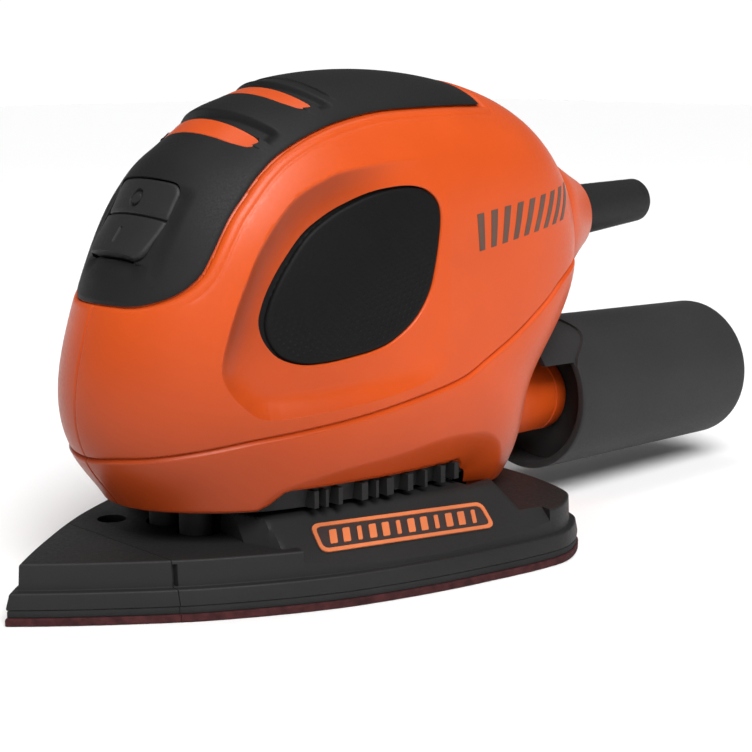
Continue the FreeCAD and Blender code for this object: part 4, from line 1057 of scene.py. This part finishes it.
# orange strips seen in the slots, rounded bars lying on the housing
strip_out = star("strip_out", lambda P: np.full(len(P), 1.02), None, 1.6)
strip_in = star("strip_in", lambda P: np.full(len(P), 2.34), None, 1.6)
band = combine(strip_out, strip_in, "DIFFERENCE")
for i, sl in enumerate((SLOT_1, SLOT_2)):
    st = combine(copy_of(band, "slot_strip_%d" % (i + 1)),
                 prism("slot_in", slot_outline(sl, -0.04), 80, 125, "z"), "INTERSECT")
    finish_mesh(st, 40)
    paint(st, ORANGE)
    give(st, "housing", "shell_orange")
drop(band)

# ------------------------------------------------------------------ side grips
grips = star("grips", grip_depth, grip_size, 3.0, 8)
grip_base = star("grip_base", lambda P: dish_strength(P[:, 0], P[:, 2]) + 1.2, None, 2.2)
grips = combine(grips, grip_base, "DIFFERENCE")
for s, name, node in ((-1, "grip_left_skin", "side_grip_left"), (1, "grip_right_skin", "side_grip_right")):
    z = prism("grip_zone", grown(GRIP_S, -0.07), -60 if s < 0 else 12, -12 if s < 0 else 60)
    g = combine(copy_of(grips, name), z, "INTERSECT")
    finish_mesh(g, 50)
    paint(g, BLACK_TREAD)
    give(g, "housing", "tread_grip", node)
drop(grips)

# ---------------------------------------------------------------------- rocker
def rocker_grid():
    D, U, H = 9.65, 8.25, 10.25
    nt_, ny = ((180, 200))
    ts = np.linspace(-D, U, nt_)
    ys = np.linspace(-H, H, ny)
    T, Y = np.meshgrid(ts, ys, indexing="ij")
    sag = 24.5 - np.sqrt(24.5 ** 2 - Y ** 2)
    n = np.where(T > 0, -0.3 - 0.3 * T / 8.3, -0.3 + 1.5 * (-T) / 9.7) - sag
    # crease
    n -= 0.75 * np.exp(-(T / 0.26) ** 2)
    n = np.where(T > 0, n - 0.10 * np.exp(-((T - 0.5) / 0.5) ** 2), n)
    # rounded border: distance to the outline, whose lower corners are cut off
    b = -region(T.ravel(), Y.ravel(), rocker_outline(0.0, 0.0)).reshape(T.shape)
    n -= 0.60 * (1 - np.sqrt(np.clip(1 - (1 - np.clip(b, 0, 0.8) / 0.8) ** 2, 0, 1)))
    # marks: a ring on the upper half, a bar on the lower half
    ring = np.abs(np.hypot((T - 3.7) / 1.0, Y / 0.86) - 1.75)
    n -= 0.70 * smooth(0.36 - ring, -0.10, 0.12)
    bar = np.maximum(np.abs(Y) - 0.32, np.abs(T + 5.0) - 1.75)
    n -= 0.70 * smooth(-bar, -0.10, 0.12)
    top = np.stack([T, Y, n], 2).reshape(-1, 3)
    low = np.stack([T, Y, np.full_like(T, -5.0)], 2).reshape(-1, 3)
    idx = np.arange(nt_ * ny).reshape(nt_, ny)
    a, b_, c, d = idx[:-1, :-1].ravel(), idx[1:, :-1].ravel(), idx[1:, 1:].ravel(), idx[:-1, 1:].ravel()
    F = [np.stack([a, b_, c], 1), np.stack([a, c, d], 1)]
    k = nt_ * ny
    F += [np.stack([a, c, b_], 1) + k, np.stack([a, d, c], 1) + k]
    rim = np.concatenate([idx[0, :], idx[1:, -1], idx[-1, -2::-1], idx[-2:0:-1, 0]])
    r2 = np.roll(rim, -1)
    F += [np.stack([rim, r2, r2 + k], 1), np.stack([rim, r2 + k, rim + k], 1)]
    F = np.vstack(F)
    o = to_object("rocker_skin", np.vstack([top, low]), F)
    return face_out(o)


rk = rocker_grid()
rk = combine(rk, prism("rk_outline", rocker_outline(-0.01, -0.01), -9, 9, "z"), "INTERSECT")
rk = combine(rk, prism("rk_end", [(-9.9, -1.6), (-9.68, -1.6), (-8.3, 4.0), (-9.9, 4.0)], -20, 20), "DIFFERENCE")
rk = rocker_place(rk)
finish_mesh(rk, 40)
paint(rk, BLACK_ROCKER)
give(rk, "rocker", "black_plastic", "rocker_cap")
drop(hole, cover_zone, under_cover, under_grip)

print("grips and rocker", round(time.time() - T0, 1))
# ------------------------------------------------------------- platen and base
def pchip(xs, ys, x):
    xs, ys = np.array(xs, float), np.array(ys, float)
    h, d = np.diff(xs), np.diff(ys) / np.diff(xs)
    m = np.zeros(len(xs))
    for i in range(1, len(xs) - 1):
        if d[i - 1] * d[i] > 0:
            w1, w2 = 2 * h[i] + h[i - 1], h[i] + 2 * h[i - 1]
            m[i] = (w1 + w2) / (w1 / d[i - 1] + w2 / d[i])

    def end(h0, h1, d0, d1):
        e = ((2 * h0 + h1) * d0 - h0 * d1) / (h0 + h1)
        if e * d0 <= 0:
            return 0.0
        if d0 * d1 <= 0 and abs(e) > 3 * abs(d0):
            return 3 * d0
        return e
    m[0], m[-1] = end(h[0], h[1], d[0], d[1]), end(h[-1], h[-2], d[-1], d[-2])
    i = np.clip(np.searchsorted(xs, x, side="right") - 1, 0, len(xs) - 2)
    t = (x - xs[i]) / h[i]
    return ((2 * t ** 3 - 3 * t ** 2 + 1) * ys[i] + (t ** 3 - 2 * t ** 2 + t) * h[i] * m[i]
            + (-2 * t ** 3 + 3 * t ** 2) * ys[i + 1] + (t ** 3 - t ** 2) * h[i] * m[i + 1])


NB = 150


def base_half():
    t = np.linspace(0, 1, NB)
    s = np.where(t < 0.5, t * 1.2, 0.6 + 0.4 * (1 - (1 - (t - 0.5) / 0.5) ** 2))
    s[0] = 0
    x = BASE_TIP + (BASE_REAR - BASE_TIP) * s
    return np.stack([x, pchip(BASE_F, BASE_W, np.minimum(s, 1.0))], 1)


HALF = base_half()
FULL = np.vstack([HALF, (HALF[1:-1] * [1, -1])[::-1]])


def outline(inset):
    """Base outline moved in by inset, same number of points for every inset."""
    p = FULL
    q = p.copy()
    a, b = np.roll(p, 1, 0), np.roll(p, -1, 0)
    t = b - a
    t /= np.linalg.norm(t, axis=1, keepdims=True)
    q = p + inset * np.stack([t[:, 1], -t[:, 0]], 1)
    # keep the nose and the tail on the centre line, and each side on its own side
    n = NB
    up = q[1:n - 1, 1]
    lim = 0.02 * np.arange(1, n - 1) / n
    k = np.argmax(q[1:n - 1, 1] > 0.02) + 1
    if k > 1:
        # the mitred nose: points past the centre line gather at the crossing
        x1, y1 = q[k]
        x2, y2 = q[k + 1]
        xc = x1 - y1 * (x2 - x1) / (y2 - y1)
        for i in range(0, k):
            f = i / k
            q[i] = (xc + (x1 - xc) * f, y1 * f)
    else:
        x1, y1 = q[1]
        x2, y2 = q[2]
        q[0] = (x1 - y1 * (x2 - x1) / (y2 - y1), 0)
    q[n - 1, 1] = 0
    q[n:] = (q[1:n - 1] * [1, -1])[::-1]
    return q


def stack(name, levels):
    """Closed loft through (inset, z) levels of the base outline."""
    rows = [np.column_stack([outline(i), np.full(len(FULL), z)]) for i, z in levels]
    m = len(FULL)
    V = np.vstack(rows)
    F = []
    for k in range(len(levels) - 1):
        a = np.arange(m) + k * m
        b = np.roll(np.arange(m), -1) + k * m
        F += [np.stack([a, b, b + m], 1), np.stack([a, b + m, a + m], 1)]
    for k, flip in ((0, True), (len(levels) - 1, False)):
        n = NB
        # strips between the two sides close the ends
        cap = []
        near = [k * m + i for i in range(n)]
        far = [k * m] + [k * m + (m - i) for i in range(1, n - 1)] + [k * m + n - 1]
        for i in range(n - 1):
            quad = [near[i], near[i + 1], far[i + 1], far[i]]
            tr = [(quad[0], quad[1], quad[2]), (quad[0], quad[2], quad[3])]
            for t in tr:
                if len(set(t)) == 3:
                    cap.append(t if flip else t[::-1])
        F.append(np.array(cap))
    F = np.vstack(F)
    # the direction of the sides is checked against the caps by volume
    o = to_object(name, V, F)
    import bmesh
    bm = bmesh.new()
    bm.from_mesh(o.data)
    bmesh.ops.recalc_face_normals(bm, faces=bm.faces)
    bm.to_mesh(o.data)
    bm.free()
    return face_out(o)


def arc_levels(i0, z0, i1, z1, n=5, convex=True):
    """Rounded corner between two levels: quarter of an ellipse."""
    out = []
    for k in range(n + 1):
        a = math.pi / 2 * k / n
        if convex:
            out.append((i0 + (i1 - i0) * (1 - math.cos(a)), z0 + (z1 - z0) * math.sin(a)))
        else:
            out.append((i0 + (i1 - i0) * math.sin(a), z0 + (z1 - z0) * (1 - math.cos(a))))
    return out


flange_levels = ([(0.55, 3.22)] + [(0.32, 3.45), (0.27, 3.8)]
                 + [(0.70, 5.9)] + arc_levels(0.74, 6.2, 1.25, 6.72, 4)
                 + [(2.05, 6.76)] + arc_levels(2.20, 6.82, 2.28, 7.2, 2, False)
                 + [(2.46, 11.7)] + arc_levels(2.47, 11.8, 3.05, 12.38, 5))
platen = stack("platen_skin", flange_levels)

tan_s, cos_s, sin_s = (math.tan(math.radians(HILL_SLOPE)), math.cos(math.radians(HILL_SLOPE)),
                       math.sin(math.radians(HILL_SLOPE)))
f0, f1 = np.array(FACET[0]), np.array(FACET[1])
fd = (f1 - f0) / np.linalg.norm(f1 - f0)
fn = np.array([-fd[1], fd[0]])


def hill_mesh(name, s):
    """Shoulder with a sloping face, soft along its top edge and its leaning ends."""
    nx_, ny_ = 120, 70
    us = np.linspace(-9.0, 68.0, nx_)
    vs = np.linspace(-3.0, 24.0, ny_)
    A, B = np.meshgrid(us, vs, indexing="ij")
    X = f0[0] + fd[0] * A + fn[0] * B
    Y = f0[1] + fd[1] * A + fn[1] * B
    zs = HILL_FOOT + B * tan_s

    def smin(a, b, k):
        h = np.clip(0.5 + 0.5 * (b - a) / k, 0, 1)
        return b * (1 - h) + a * h - k * h * (1 - h)
    # plateau, sloping face, and the end faces
    left = (X + 29.4 + 0.30 * (Y + 36)) * 2.1 + 9.5
    right = (34.2 - 0.62 * (Y + 36) * -1 - X) * 0.95 + 10.4
    z = smin(zs, np.full_like(zs, HILL_TOP), 0.9)
    z = smin(z, left, 0.7)
    z = smin(z, right, 0.7)
    z = np.maximum(z, 6.0)
    top = np.stack([X, Y, z], 2).reshape(-1, 3)
    low = np.stack([X, Y, np.full_like(X, 5.0)], 2).reshape(-1, 3)
    idx = np.arange(nx_ * ny_).reshape(nx_, ny_)
    a, b_, c, d = idx[:-1, :-1].ravel(), idx[1:, :-1].ravel(), idx[1:, 1:].ravel(), idx[:-1, 1:].ravel()
    k = nx_ * ny_
    F = [np.stack([a, b_, c], 1), np.stack([a, c, d], 1), np.stack([a, c, b_], 1) + k, np.stack([a, d, c], 1) + k]
    rim = np.concatenate([idx[0, :], idx[1:, -1], idx[-1, -2::-1], idx[-2:0:-1, 0]])
    r2 = np.roll(rim, -1)
    F += [np.stack([rim, r2, r2 + k], 1), np.stack([rim, r2 + k, rim + k], 1)]
    V = np.vstack([top, low])
    if s > 0:
        V = V * [1, -1, 1]
    o = to_object(name, V, np.vstack(F))
    import bmesh
    bm = bmesh.new()
    bm.from_mesh(o.data)
    bmesh.ops.recalc_face_normals(bm, faces=bm.faces)
    bm.to_mesh(o.data)
    bm.free()
    return face_out(o)


keep_hill = stack("hill_keep", [(2.36, 4.0), (2.46, 11.5), (2.60, 30.0)])
for s in (-1, 1):
    h = hill_mesh("hill", s)
    h = combine(h, keep_hill, "INTERSECT", keep=True)
    platen = combine(platen, h, "UNION")
    # the wall under the sloping face is cut down to it
    a = f0 - fd * 1.0
    b = f1 + fd * 6.5
    zt = 14 * tan_s
    pts = []
    for p in (a, b):
        o_, i_ = p - fn * 14, p + fn * 14
        pts.append([(o_[0], o_[1], HILL_FOOT - zt), (i_[0], i_[1], HILL_FOOT + zt), (o_[0], o_[1], HILL_FOOT + zt)])
    V = np.array(pts[0] + pts[1])
    if s > 0:
        V = V * [1, -1, 1]
    w = to_object("facet_cut", V, [(0, 1, 2), (5, 4, 3), (0, 3, 4), (0, 4, 1), (1, 4, 5), (1, 5, 2), (2, 5, 3), (2, 3, 0)])
    w = face_out(w)
    w = combine(w, block("above", -100, 100, -100, 100, 6.76, 60), "INTERSECT")
    platen = combine(platen, w, "DIFFERENCE")
drop(keep_hill)


def vcyl(name, r, z0, z1, x, y, n=64):
    return prism(name, [(x + r * math.cos(a), y + r * math.sin(a)) for a in np.linspace(0, 2 * math.pi, n, endpoint=False)], z0, z1, "z")


for r, z0, z1, x, y in [(11.0, 5.3, 40, 0.8, 0), (8.6, 0, 10, 0.8, 0), (19.4, 12.38, 40, 0, 0),
                        (4.9, 6.6, 40, -34.2, -5.4), (4.9, 6.6, 40, -34.2, 5.4), (4.9, 6.6, 40, 37.8, -17), (4.9, 6.6, 40, 37.8, 17),
                        (3.4, 0, 40, 3, -21.5), (3.4, 0, 40, 3, 21.5), (3.4, 0, 40, 25, 0),
                        (3.4, 0, 8.6, -24, 0), (3.4, 0, 8.6, -22, -17), (3.4, 0, 8.6, -22, 17),
                        (3.4, 0, 8.6, 30, -30), (3.4, 0, 8.6, 30, 30),
                        (1.5, 2, 20, -42.5, 15), (3.2, 9.2, 20, -42.5, 15)]:
    platen = combine(platen, vcyl("bore", r, z0, z1, x, y), "DIFFERENCE")
room = star("room", lambda P: np.full(len(P), -1.9), None, 3.0)
room = combine(room, block("room_zone", 21.5, 90, -60, 60, 12.4, 60), "INTERSECT")
platen = combine(platen, room, "DIFFERENCE")
tip = combine(copy_of(platen, "nose_tip_skin"), block("tip_zone", -100, TIP_SEAM, -60, 60, -1, 40), "INTERSECT")
platen = combine(platen, block("main_zone", TIP_SEAM + 0.16, 100, -60, 60, -1, 40), "INTERSECT")
groove_out = stack("groove_out", [(1.6, 6.9), (1.6, 11.55)])
groove_in = stack("groove_in", [(3.6, 6.0), (3.6, 13.0)])
groove = combine(groove_out, groove_in, "DIFFERENCE")
groove = combine(groove, block("gz", TIP_SEAM - 0.1, TIP_SEAM + 1.0, -60, 60, 0, 30), "INTERSECT")
platen = combine(platen, groove, "DIFFERENCE")
finish_mesh(platen, 28)
paint(platen, PLATEN_M)
give(platen, "platen", "platen_plastic", "platen")
finish_mesh(tip, 28)
paint(tip, PLATEN_M)
give(tip, "platen", "platen_plastic", "nose_tip")

print("platen", len(platen.data.polygons), round(time.time() - T0, 1))
# sheet and pad, each with its nose piece
for name, levels, mat, slot_name, nodes_ in (
        ("sheet_skin", [(0.25, 0.02)] + arc_levels(0.06, 0.25, 0.06, 0.5, 1) + [(0.04, 1.25)] + arc_levels(0.06, 1.4, 0.35, 1.68, 3),
         SHEET_M, "abrasive", ("sanding_sheet", "sanding_sheet_tip")),
        ("pad_skin", [(0.55, 1.72), (0.42, 1.9), (0.40, 3.0), (0.52, 3.18)], PAD_M, "hook_pad", ("hook_pad", "hook_pad_tip"))):
    whole = stack(name, levels)
    for x, y in [(-24, 0), (-22, -17), (-22, 17), (3, -21.5), (3, 21.5), (25, 0), (30, -30), (30, 30)]:
        whole = combine(whole, vcyl("hole", 3.1, -1, 9, x, y, 40), "DIFFERENCE")
    front = combine(copy_of(whole, name + "_tip"), block("z", -100, TIP_SEAM - 0.02, -60, 60, -5, 40), "INTERSECT")
    whole = combine(whole, block("z", TIP_SEAM + 0.14, 100, -60, 60, -5, 40), "INTERSECT")
    for o_, n_ in ((whole, nodes_[0]), (front, nodes_[1])):
        finish_mesh(o_, 35)
        paint(o_, mat)
        give(o_, "platen", slot_name, n_)

# ---------------------------------------------------------------------- badges
def facet_frame(s):
    ux = np.array([fd[0], fd[1], 0.0])
    inn = np.array([fn[0], fn[1], 0.0])
    uv = inn * cos_s + np.array([0, 0, sin_s])
    n = np.cross(ux, uv)
    c = np.array([f0[0], f0[1], HILL_FOOT]) + ux * 25.6 + uv * 5.9
    M = np.stack([ux, uv, n], 1)
    if s > 0:
        F = np.diag([1.0, -1.0, 1.0])
        M = F @ M
        c = F @ c
    return M, c


def on_facet(o, s):
    M, c = facet_frame(s)
    me = o.data
    v = np.zeros(len(me.vertices) * 3)
    me.vertices.foreach_get("co", v)
    v = v.reshape(-1, 3)
    w = v @ M.T + c * MM
    me.vertices.foreach_set("co", w.astype(np.float32).ravel())
    me.update()
    return face_out(o)


def badge_outline(g=0.0):
    return [(-22.1 - g, -3.15 - g), (21.6 + g, -4.1 - g), (21.6 + g, 3.35 + g), (-21.8 - g, 4.6 + g)]


for s, node in ((-1, "badge_plate_left"), (1, "badge_plate_right")):
    tag = "left" if s < 0 else "right"
    plate = on_facet(prism("badge_%s_skin" % tag, soften(badge_outline(0.0), 2.2), 0.0, 0.22, "z"), s)
    finish_mesh(plate, 30)
    paint(plate, BADGE_M)
    give(plate, "platen", "badge", node)
    fr = prism("badge_frame_%s" % tag, soften(badge_outline(-0.15), 2.1), 0.05, 0.46, "z")
    inn_ = prism("inner", soften(badge_outline(-1.05), 1.5), -0.1, 1.0, "z")
    fr = on_facet(combine(fr, inn_, "DIFFERENCE"), s)
    finish_mesh(fr, 30)
    paint(fr, COPPER_PRINT)
    give(fr, "platen", "badge")
    bars = []
    for k in range(12):
        u0 = -17.6 + 3.2 * k
        mid = 0.70 - (u0 + 22) * 0.0247
        hgt, w_, lean = 1.75, (1.75, 1.75, 1.05)[k % 3], 0.55
        bars.append(soften([(u0 - w_ / 2 - lean, mid - hgt), (u0 + w_ / 2 - lean, mid - hgt),
                            (u0 + w_ / 2 + lean, mid + hgt), (u0 - w_ / 2 + lean, mid + hgt)], 0.3, 3))
    V, F = [], []
    for b in bars:
        o_ = prism("bar", b, 0.05, 0.40, "z")
        base = len(V)
        V += [tuple(np.array(v.co) / MM) for v in o_.data.vertices]
        F += [tuple(i + base for i in p.vertices) for p in o_.data.polygons]
        drop(o_)
    bo = on_facet(to_object("badge_bars_%s" % tag, V, F), s)
    finish_mesh(bo, 30)
    paint(bo, COPPER_PRINT)
    give(bo, "platen", "badge")

# slanted bars printed on both sides of the housing
def side_bars(s):
    V, F = [], []
    top0, top1 = np.array([22.3, 78.5]), np.array([64.5, 83.5])
    bot0, bot1 = np.array([23.0, 70.3]), np.array([57.1, 75.3])
    n = 9
    for k in range(n):
        f = (k + 0.15) / n
        g = f + 0.48 / n
        lo0, lo1 = bot0 + (bot1 - bot0) * f, bot0 + (bot1 - bot0) * g
        hi0, hi1 = top0 + (top1 - top0) * f, top0 + (top1 - top0) * g
        m, q = 5, 9
        base = len(V)
        for lay in (0.02, 0.07):
            for j in range(q):
                for i in range(m):
                    a = lo0 + (lo1 - lo0) * i / (m - 1)
                    b = hi0 + (hi1 - hi0) * i / (m - 1)
                    p = a + (b - a) * j / (q - 1)
                    y = -float(half_width(p[0], p[1]))
                    P = np.array([[p[0], y, p[1]]])
                    N = body_normal(P)
                    r = (P + N * lay - N * shell_depth(P)[:, None])[0]
                    V.append((r[0], r[1] * (-s), r[2]))
        c = m * q
        for j in range(q - 1):
            for i in range(m - 1):
                a = base + j * m + i
                F.append((a, a + 1, a + m + 1, a + m))
                F.append((a + c, a + c + m, a + c + m + 1, a + c + 1))
        rim = ([base + i for i in range(m)] + [base + j * m + m - 1 for j in range(1, q)]
               + [base + (q - 1) * m + i for i in range(m - 2, -1, -1)] + [base + j * m for j in range(q - 2, 0, -1)])
        for i in range(len(rim)):
            a, b = rim[i], rim[(i + 1) % len(rim)]
            F.append((b, a, a + c, b + c))
    o = to_object("side_marks_%s" % ("left" if s < 0 else "right"), V, F)
    finish_mesh(face_out(o), 40, 0.001)
    paint(o, PRINT_M)
    give(o, "housing", "shell_orange")


side_bars(-1)
side_bars(1)

# ---------------------------------------------------------- cord guard, canister
guard = turned("guard_skin", [(-6, 3.3), (-6, 8.3), (-3.4, 8.3), (-3.3, 6.68), (13.5, 6.68), (14.6, 6.66)]
               + [(14.6 + (38.0 - 14.6) * k / 12, 6.66 - (6.66 - 5.79) * k / 12) for k in range(1, 13)]
               + [(38.3, 5.72), (38.7, 5.50), (39.0, 5.10), (39.12, 4.6), (39.05, 4.1), (38.6, 3.6), (38.0, 3.3)],
               GUARD, GUARD_TILT, 160)
finish_mesh(guard, 30)
paint(guard, RUBBER_M)
give(guard, "housing", "rubber_black", "cord_guard")

S0, S1, R0, R1 = -5.2, 67.9, 19.75, 19.0


def can_r(s):
    return R0 + (R1 - R0) * (s - S0) / (S1 - S0)


prof = [(S0 + 0.25, can_r(S0) - 2.0), (S0, can_r(S0) - 1.7), (S0, can_r(S0) - 0.55), (S0 + 0.15, can_r(S0) - 0.2), (S0 + 0.5, can_r(S0) - 0.03)]
prof += [(s, can_r(s) - 0.02) for s in np.linspace(S0 + 1.2, S1 - 2.6, 40)]
prof += [(S1 - 2.5 + 2.46 * math.sin(a), R1 - 2.5 + 2.48 * math.cos(a)) for a in np.linspace(0.1, math.pi / 2, 9)]
prof += [(S1 - 0.05, 12.0), (S1 - 0.05, 0), (S1 - 2.0, 0), (S1 - 2.0, R1 - 3.2), (S1 - 3.0, R1 - 2.1)]
can = turned("canister_skin", prof, PORT, PORT_TILT, 220)
lobe = turned("lobe", [(-16, R0 - 2.0), (-16, R0 - 0.02), (S0 + 1.4, R0 - 0.02), (S0 + 1.4, R0 - 2.0)], PORT, PORT_TILT, 220)
t_ = math.radians(PORT_TILT)


def along_port(name, pts, y0, y1):
    o = prism(name, pts, y0, y1)
    me = o.data
    v = np.zeros(len(me.vertices) * 3)
    me.vertices.foreach_get("co", v)
    v = v.reshape(-1, 3)
    w = np.stack([PORT[0] * MM + math.cos(t_) * v[:, 0] - math.sin(t_) * v[:, 2], v[:, 1],
                  PORT[1] * MM + math.sin(t_) * v[:, 0] + math.cos(t_) * v[:, 2]], 1)
    me.vertices.foreach_set("co", w.astype(np.float32).ravel())
    me.update()
    return face_out(o)


lobe = combine(lobe, along_port("lobe_zone", [(-30, 10.3), (20, 10.3), (20, 30), (-30, 30)], -30, 30), "INTERSECT")
can = combine(can, lobe, "UNION")
scallop = turned("scallop", [(-17, R0 - 0.75), (-17, R0 + 3.0), (8, R0 + 3.0), (8, R0 - 0.75)], PORT, PORT_TILT, 220)
scallop = combine(scallop, along_port("scallop_zone", soften([(-25, 30), (2.9, 30), (3.6, 18.9), (4.3, 17.1), (3.2, 15.6), (1.2, 14.4),
                                                      (-2.1, 12.4), (-4.4, 10.9), (-5.2, 9.0), (-25, 8.0)], 1.2, 5), -30, 30), "INTERSECT")
can = combine(can, scallop, "DIFFERENCE")
near = star("can_clear", lambda P: np.full(len(P), -0.7), None, 2.0)
can = combine(can, near, "DIFFERENCE")
finish_mesh(can, 30)
paint(can, CAN_M)
give(can, "canister", "canister_black", "canister_shell")

print("pieces", round(time.time() - T0, 1))
# --------------------------------------------------------------- stage, camera
floor = to_object("floor", [(-3000, -3000, -0.05), (3000, -3000, -0.05), (3000, 3000, -0.05), (-3000, 3000, -0.05)], [(0, 1, 2, 3)])
fm = bpy.data.materials.new("floor_pale")
nt, bs = nodes_of(fm)
ns = nt.nodes.new("ShaderNodeTexNoise")
ns.inputs["Scale"].default_value = 6.0
mx = nt.nodes.new("ShaderNodeMix")
mx.data_type = "RGBA"
mx.inputs["A"].default_value = (0.96, 0.96, 0.96, 1)
mx.inputs["B"].default_value = (0.945, 0.945, 0.945, 1)
nt.links.new(ns.outputs["Fac"], mx.inputs["Factor"])
nt.links.new(mx.outputs["Result"], bs.inputs["Base Color"])
bs.inputs["Roughness"].default_value = 0.9
bs.inputs["Specular IOR Level"].default_value = 0.1
floor.data.materials.append(fm)

world = bpy.data.worlds.new("studio")
scene.world = world
world.use_nodes = True
wt = world.node_tree
wt.nodes["Background"].inputs[0].default_value = (1.0, 1.0, 1.0, 1)
wc = wt.nodes.new("ShaderNodeTexCoord")
ws = wt.nodes.new("ShaderNodeSeparateXYZ")
wt.links.new(wc.outputs["Generated"], ws.inputs[0])
wt.links.new(ramp(wt, ws.outputs["Z"], 0.05, 0.20, 1.05, 0.17), wt.nodes["Background"].inputs[1])


def softbox(name, place_, target, size, power, colour=(1, 1, 1)):
    d = bpy.data.lights.new(name, "AREA")
    d.shape = "RECTANGLE"
    d.size, d.size_y = size
    d.energy = power
    d.color = colour
    o = bpy.data.objects.new(name, d)
    scene.collection.objects.link(o)
    o.location = place_
    o.rotation_euler = (Vector(target) - Vector(place_)).to_track_quat("-Z", "Y").to_euler()
    return o


def distant(name, azimuth, elevation, strength, spread):
    d = bpy.data.lights.new(name, "SUN")
    d.energy = strength
    d.angle = math.radians(spread)
    o = bpy.data.objects.new(name, d)
    scene.collection.objects.link(o)
    a, e = math.radians(azimuth), math.radians(elevation)
    src = Vector((math.sin(a) * math.cos(e), -math.cos(a) * math.cos(e), math.sin(e)))
    o.rotation_euler = (-src).to_track_quat("-Z", "Y").to_euler()
    o.location = (0, 0, 1)
    return o


distant("key", -26.0, 50.0, 3.55, 34.0)
softbox("top", (0.05, 0.12, 0.95), (0.02, 0.0, 0.06), (0.9, 0.16), 1.7)

cam_data = bpy.data.cameras.new("camera")
cam = bpy.data.objects.new("camera", cam_data)
scene.collection.objects.link(cam)
cam.location = (-0.247158, -0.285085, 0.113402)
az, el = math.radians(-43.14), math.radians(9.218)
back = Vector((math.sin(az) * math.cos(el), -math.cos(az) * math.cos(el), math.sin(el)))
cam.rotation_euler = (-back).to_track_quat("-Z", "Y").to_euler()
cam_data.lens = 80.53
cam_data.sensor_width = 36.0
cam_data.shift_x = 0.0141
cam_data.shift_y = -0.0653
cam_data.clip_start = 0.01
cam_data.clip_end = 50
scene.camera = cam
scene.view_settings.view_transform = "Standard"
